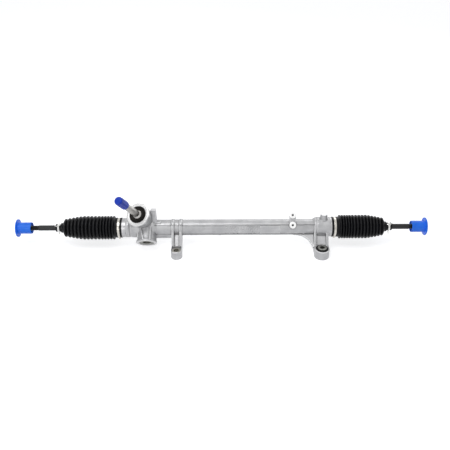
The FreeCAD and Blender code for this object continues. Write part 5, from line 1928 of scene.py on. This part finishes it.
# Tie rods and their caps.
@dataclass
class TieRod:
    """A tie rod from its ball to its rolled thread."""

    side: Side
    ball: float = 12.0
    ball_steps: int = 32
    neck: float = 6.2
    neck_span: Point = (20.0, 24.0)
    thick: float = 8.5
    thick_span: Point = (36.0, 78.0)
    thick_slope: Point = (2.0, 1.0)
    shank: float = 7.5
    shank_slope: float = 1.0
    shaft_round: float = 2.5
    thread: float = 6.9
    thread_length: float = 43.0
    thread_lead: float = 0.4
    thread_end: float = 1.5
    end_chamfer: float = 1.3
    length: float = 170.0
    pitch: float = 1.5
    thread_depth: float = 0.85
    flank_slope: float = 1.25
    groove_start: float = 0.5
    samples: int = 8
    segments: int = 64

    def wavy(self, angle: float, along: float, radius: float) -> float:
        """Cuts the thread's groove into the rod.

        Args:
            angle: Angle round the rod.
            along: Place along the rod.
            radius: Radius without the groove.

        Returns:
            Radius with the groove, where the rod is threaded.
        """
        start = self.length - self.thread_length
        if along < start + self.groove_start or along > self.length - self.thread_lead:
            return radius
        flank = abs(2 * ((along / self.pitch - angle / FULL_TURN) % 1.0) - 1)
        runout = min(1.0, (along - start) / (2 * self.pitch), (self.length - along) / self.pitch)
        groove = max(0.0, 1 - self.flank_slope * flank) * max(0.0, runout)
        return radius - self.thread_depth * groove

    def build(self) -> None:
        """Builds the rod."""
        meet = math.asin(self.neck / self.ball)
        angles = [math.pi - (math.pi - meet) * step / self.ball_steps
                  for step in range(1, self.ball_steps + 1)]
        ball = [(0.0, -self.ball)] + [(self.ball * math.sin(angle), self.ball * math.cos(angle))
                                      for angle in angles]
        thick_start, thick_end = self.thick_span
        before, after = self.thick_slope
        neck_start, neck_end = self.neck_span
        start = self.length - self.thread_length
        lead = start + self.thread_lead
        shaft = rounded(
            [(0, neck_start), (self.neck, neck_start), (self.neck, neck_end),
             (self.thick, thick_start), (self.thick, thick_end - before),
             (self.shank, thick_end + after), (self.shank, start - self.shank_slope),
             (self.thread, lead), (0, lead)], self.shaft_round
        )[CORNER_POINTS + 1:-1]
        count = int(self.thread_length / self.pitch * self.samples)
        threaded = self.thread_length - self.thread_lead - self.thread_end
        bolt = [(self.thread, lead + threaded * step / count) for step in range(1, count + 1)]
        end = [(self.thread - self.end_chamfer, self.length), (0.0, self.length)]
        solid = Solid(Axis(ball_centre(self.side), self.side.outward).matrix())
        solid.turn(ball + shaft + bolt + end, self.segments, self.wavy)
        dress(solid.finished(self.side.node("threaded_rod")), ROD_COAT,
              self.side.node("rod"), [self.side.node("tie_rod")])


@dataclass
class ThreadCap:
    """The pull-off cap on a tie rod's thread: a flanged sleeve with gripping fins."""

    side: Side
    radius: float = 16.0
    wall: float = 2.0
    mouth_flare: float = 0.15
    draft: float = 0.25
    length: float = 40.0
    flange: float = 25.0
    flange_wall: float = 3.0
    edge_round: float = 0.9
    fins: int = 6
    fin_wall: float = 1.6
    fin_reach: float = 7.0
    fin_overlap: float = 0.3
    segments: int = 112

    def build(self) -> None:
        """Builds the cap."""
        low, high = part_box(self.side.node("thread_cap"))
        centre = ball_centre(self.side)
        centre.x = high.x if self.side is Side.LEFT else low.x
        place = Axis(centre, self.side.outward).matrix()
        inner, floor = self.radius - self.wall, self.length - self.flange_wall
        sleeve = [(inner, 0), (self.radius + self.mouth_flare, 0),
                  (self.radius - self.draft, floor), (self.flange, floor),
                  (self.flange, self.length), (0, self.length), (0, floor), (inner, floor)]
        solid = Solid(place).turn(rounded(sleeve, self.edge_round), self.segments)
        half = self.fin_wall / 2
        fin = rectangle((self.fin_reach, -half), (inner + self.wall / 2, half))
        for number in range(self.fins):
            solid.place = place @ Matrix.Rotation(FULL_TURN * number / self.fins, 4, "Z")
            solid.prism(fin, self.wall, floor + self.fin_overlap)
        dress(solid.finished(self.side.node("flanged_cap")), THREAD_CAP_BLUE,
              self.side.node("cap"), [self.side.node("thread_cap")])


# Pieces on the pinion and in the right mount.
@dataclass
class PinionCap:
    """The ribbed cap on the pinion's splines."""

    start: float = 141.0
    radius: float = 11.0
    wall: float = 1.7
    mouth_chamfer: Point = (0.7, 0.8)
    bore_end: float = 181.3
    bore_chamfer: float = 1.0
    skin_margin: float = 0.05
    length: float = 42.8
    body_steps: int = 30
    round_end: float = 4.2
    round_steps: int = 8
    gate_radius: float = 4.2
    gate_rise: Point = (0.25, 0.35)
    ribs: int = 12
    rib_height: float = 0.85
    rib_sharpness: float = 1.5
    rib_start: float = 1.2
    rib_fade: float = 2.0
    segments: int = 192

    def ribbed(self, angle: float, along: float, radius: float) -> float:
        """Raises the lengthwise ribs, which fade at both ends.

        Args:
            angle: Angle round the cap.
            along: Place along the pinion.
            radius: Radius without the ribs.

        Returns:
            Radius with the ribs, on the outer skin.
        """
        if radius < self.radius - self.skin_margin:
            return radius
        lobe = max(0.0, math.cos(self.ribs * angle)) ** self.rib_sharpness
        local = along - self.start
        fade = min(1.0, max(0.0, local - self.rib_start) / self.rib_fade)
        fade *= min(1.0, max(0.0, self.length - self.round_end - local) / self.rib_fade)
        return radius + self.rib_height * lobe * fade

    def build(self) -> None:
        """Builds the cap."""
        end = self.start + self.length
        inner = self.radius - self.wall
        inset, chamfer = self.mouth_chamfer
        straight = self.length - self.round_end - chamfer
        body = [(self.radius, self.start + chamfer + straight * step / self.body_steps)
                for step in range(self.body_steps + 1)]
        dome = arc((self.radius - self.round_end, end - self.round_end), self.round_end,
                   (0, math.pi / 2), self.round_steps)[1:]
        low, high = self.gate_rise
        profile = [(inner, self.start), (self.radius - inset, self.start)] + body + dome
        slope = self.bore_chamfer
        profile += [(self.gate_radius, end + low), (0.0, end + high), (0.0, self.bore_end + slope),
                    (inner - slope, self.bore_end), (inner, self.bore_end - slope)]
        solid = Solid(PINION.matrix()).turn(profile, self.segments, self.ribbed)
        dress(solid.finished("ribbed_cap"), PINION_CAP_BLUE, "pinion_cap",
              ["pinion_spline_cap"])


@dataclass
class DustSeal:
    """The rubber seal in the tower's mouth, with its raised lip on the shaft.

    Attributes:
        lips: Corners over the seal's face, from the rim to the shaft, as the distance from
            the shaft and the height over the face.
    """

    seat: float = 50.0
    face: float = 64.5
    outer: float = 24.0
    shaft: float = 12.25
    undercut: Point = (4.0, 6.0)
    clearance: float = 0.1
    lips: tuple[Point, ...] = (
        (8.95, 0.0), (8.15, -1.8), (4.8, -3.4), (3.8, -1.0), (2.4, 0.4), (0.1, -0.4),
    )
    lip_round: float = 0.6
    segments: int = 112

    def build(self) -> None:
        """Builds the seal."""
        width, height = self.undercut
        corners = [(self.shaft + self.clearance, self.seat + height),
                   (self.shaft + width, self.seat), (self.outer, self.seat),
                   (self.outer, self.face)]
        corners += [(self.shaft + away, self.face + rise) for away, rise in self.lips]
        solid = Solid(PINION.matrix()).turn(rounded(corners, self.lip_round), self.segments)
        dress(solid.finished("dust_seal_lips"), SEAL_RUBBER, "housing",
              ["pinion_dust_seal"])


@dataclass
class MountBush:
    """The rubber bush and the steel sleeve of the right mount.

    Attributes:
        rubber_face: Corners over the rubber's top, from its rim to the sleeve, as the radius
            and the depth under the top.
    """

    rubber: float = 17.5
    rubber_foot: Point = (1.5, 3.0)
    rubber_face: tuple[Point, ...] = (
        (17.5, 2.2), (16.5, 0.4), (14.3, 1.3), (12.2, 0.3), (9.05, 0.1),
    )
    rubber_round: float = 0.5
    rubber_segments: int = 112
    sleeve: float = 9.0
    bore: float = 6.5
    flange: float = 12.0
    height: float = 27.5
    flange_wall: float = 2.5
    sleeve_round: float = 0.6
    clearance: float = 0.05

    def build(self) -> None:
        """Builds the rubber and the sleeve."""
        place = Matrix.Translation(RIGHT_MOUNT) @ Matrix.Scale(MM, 4)
        foot, wide = self.rubber_foot
        rubber = [(self.sleeve + self.clearance, foot), (self.rubber - foot, foot),
                  (self.rubber, wide)]
        rubber += [(radius, self.height - depth) for radius, depth in self.rubber_face]
        ring = Solid(place).turn(rounded(rubber, self.rubber_round), self.rubber_segments)
        dress(ring.finished("bush_rubber_ring"), BUSH_RUBBER, "housing",
              ["mount_bush_rubber"])
        top = self.height + self.flange_wall
        sleeve = [(self.bore, 0), (self.sleeve, 0), (self.sleeve, self.height),
                  (self.flange, self.height), (self.flange, top), (self.bore, top)]
        metal = Solid(place).turn(rounded(sleeve, self.sleeve_round))
        dress(metal.finished("bush_sleeve_metal"), BUSH_STEEL, "housing",
              ["mount_bush_sleeve"])


def dress_kept_nodes() -> None:
    """Gives every CAD node that stays its finish."""
    kept = {
        "rack_bar": RACK_STEEL,
        "rack_bush": NYLON,
        "pinion_shaft": SHAFT_STEEL,
        "pinion_bearing_inner_race": SHAFT_STEEL,
        "pinion_bearing_outer_race": SHAFT_STEEL,
        "pinion_lower_bush": BRONZE,
        "pinion_retaining_ring": SPRING_COAT,
        "rack_yoke": RACK_TURNED,
        "yoke_liner": BRONZE,
        "yoke_lower_disc_spring": SPRING_COAT,
        "yoke_upper_disc_spring": SPRING_COAT,
        "yoke_adjuster_plug": BUSH_STEEL,
    }
    for side in Side:
        kept[side.node("ball_socket")] = RACK_STEEL
        kept[side.node("lock_washer")] = BRIGHT_CLAMP
        kept[side.node("ball_seat")] = NYLON
    for node, finish in kept.items():
        repaint(node, finish)


# The studio.
@dataclass(frozen=True)
class Lamp:
    """A round soft lamp."""

    name: str
    spot: Triple
    size: float
    power: float

    def hang(self, focus: Vector) -> None:
        """Hangs the lamp and points it.

        Args:
            focus: The point that it lights.
        """
        data = bpy.data.lights.new(self.name, "AREA")
        data.shape = "DISK"
        data.size = self.size
        data.energy = self.power
        lamp = bpy.data.objects.new(self.name, data)
        lamp.location = self.spot
        lamp.rotation_euler = (Vector(self.spot) - focus).to_track_quat("Z", "Y").to_euler()
        bpy.context.scene.collection.objects.link(lamp)


@dataclass
class Studio:
    """Floor, lamps, surroundings and camera."""

    focus_place: float = 0.134
    elevation: float = 34.0
    distance: float = 1.6
    view_angle: float = 43.0
    sensor: float = 36.0
    clip_end: float = 100.0
    axis_drop: float = 0.006
    roll: float = -0.26
    floor_size: float = 30.0
    floor_gap: float = 0.0002
    floor_colour: Triple = (0.80, 0.80, 0.81)
    floor_roughness: float = 0.8
    floor_shine: float = 0.1
    floor_glow: float = 0.62
    soft_colour: Triple = (0.95, 0.97, 1.0)
    soft_strength: float = 0.42
    lamps: tuple[Lamp, ...] = (
        Lamp("key_lamp", (-0.4, -0.5, 2.2), 1.3, 17.0),
        Lamp("rim_lamp", (0.9, 1.6, 1.2), 1.4, 6.0),
        Lamp("fill_lamp", (-1.1, -1.8, 0.9), 1.2, 7.0),
    )

    @property
    def focus(self) -> Vector:
        """The point of the rack's axis that the camera and the lamps point at."""
        return Vector((self.focus_place, RACK_HEIGHT.y, RACK_HEIGHT.z))

    def camera(self) -> None:
        """Sets the camera over the front of the rack, level with it but for a slight roll."""
        lean = math.radians(self.elevation)
        back = Vector((0, -math.cos(lean), math.sin(lean)))
        rise = Vector((0, math.sin(lean), math.cos(lean)))
        data = bpy.data.cameras.new("studio_camera")
        data.sensor_width = self.sensor
        data.lens = self.sensor / 2 / math.tan(math.radians(self.view_angle / 2))
        data.clip_end = self.clip_end
        eye = bpy.data.objects.new("studio_camera", data)
        eye.location = self.focus + rise * self.axis_drop + back * self.distance
        roll = Quaternion((0, 0, 1), math.radians(self.roll))
        eye.rotation_euler = (back.to_track_quat("Z", "Y") @ roll).to_euler()
        bpy.context.scene.collection.objects.link(eye)
        bpy.context.scene.camera = eye

    def floor(self) -> None:
        """Lays the pale floor, which keeps the object's shadow."""
        low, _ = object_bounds()
        half = self.floor_size / 2
        height = low[2] - self.floor_gap
        data = bpy.data.meshes.new("studio_floor")
        corners = [(*corner, height) for corner in rectangle((-half, -half), (half, half))]
        data.from_pydata(corners, [], [(0, 1, 2, 3)])
        floor = bpy.data.objects.new("studio_floor", data)
        bpy.context.scene.collection.objects.link(floor)
        graph = Graph("pale_floor")
        data.materials.append(graph.surface(
            Base_Color=self.floor_colour, Roughness=self.floor_roughness,
            Specular_IOR_Level=self.floor_shine))
        seen = graph.seen()
        lit = graph.node("ShaderNodeEmission")
        graph.feed(lit.inputs["Color"], WHITE)
        graph.feed(lit.inputs["Strength"], graph.calculate("MULTIPLY", seen, self.floor_glow))
        both = graph.fed("ShaderNodeAddShader", [graph.shader.outputs[0], lit.outputs[0]])
        graph.feed(graph.output.inputs["Surface"], both.outputs[0])
        floor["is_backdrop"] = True

    def surroundings(self) -> None:
        """Lights the scene evenly and shows white behind it."""
        world = bpy.data.worlds.new("studio_world")
        bpy.context.scene.world = world
        world.use_nodes = True
        graph = Wiring(world.node_tree)
        output = graph.node("ShaderNodeOutputWorld")
        soft = graph.fed("ShaderNodeBackground", [(*self.soft_colour, 1.0), self.soft_strength])
        white = graph.fed("ShaderNodeBackground", [WHITE])
        shown = graph.fed("ShaderNodeMixShader", [graph.seen(), soft.outputs[0], white.outputs[0]])
        graph.feed(output.inputs["Surface"], shown.outputs[0])

    def build(self) -> None:
        """Sets up the whole studio."""
        self.camera()
        self.floor()
        self.surroundings()
        for lamp in self.lamps:
            lamp.hang(self.focus)
        bpy.context.scene.view_settings.view_transform = "Standard"


def main() -> None:
    """Builds every piece and the studio."""
    logging.basicConfig(level=logging.INFO, format="%(name)s: %(message)s")
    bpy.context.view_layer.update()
    Housing().build()
    Bellows(Side.LEFT, waist_ridge=12, tail_ridge=13).build()
    Bellows(Side.RIGHT, waist_ridge=11, tail_ridge=12).build()
    for side in Side:
        for piece in (BandClamp, SpringClip, TieRod, ThreadCap):
            piece(side).build()
    for piece in (PinionCap, DustSeal, MountBush):
        piece().build()
    dress_kept_nodes()
    Studio().build()


if __name__ == "__main__":
    main()
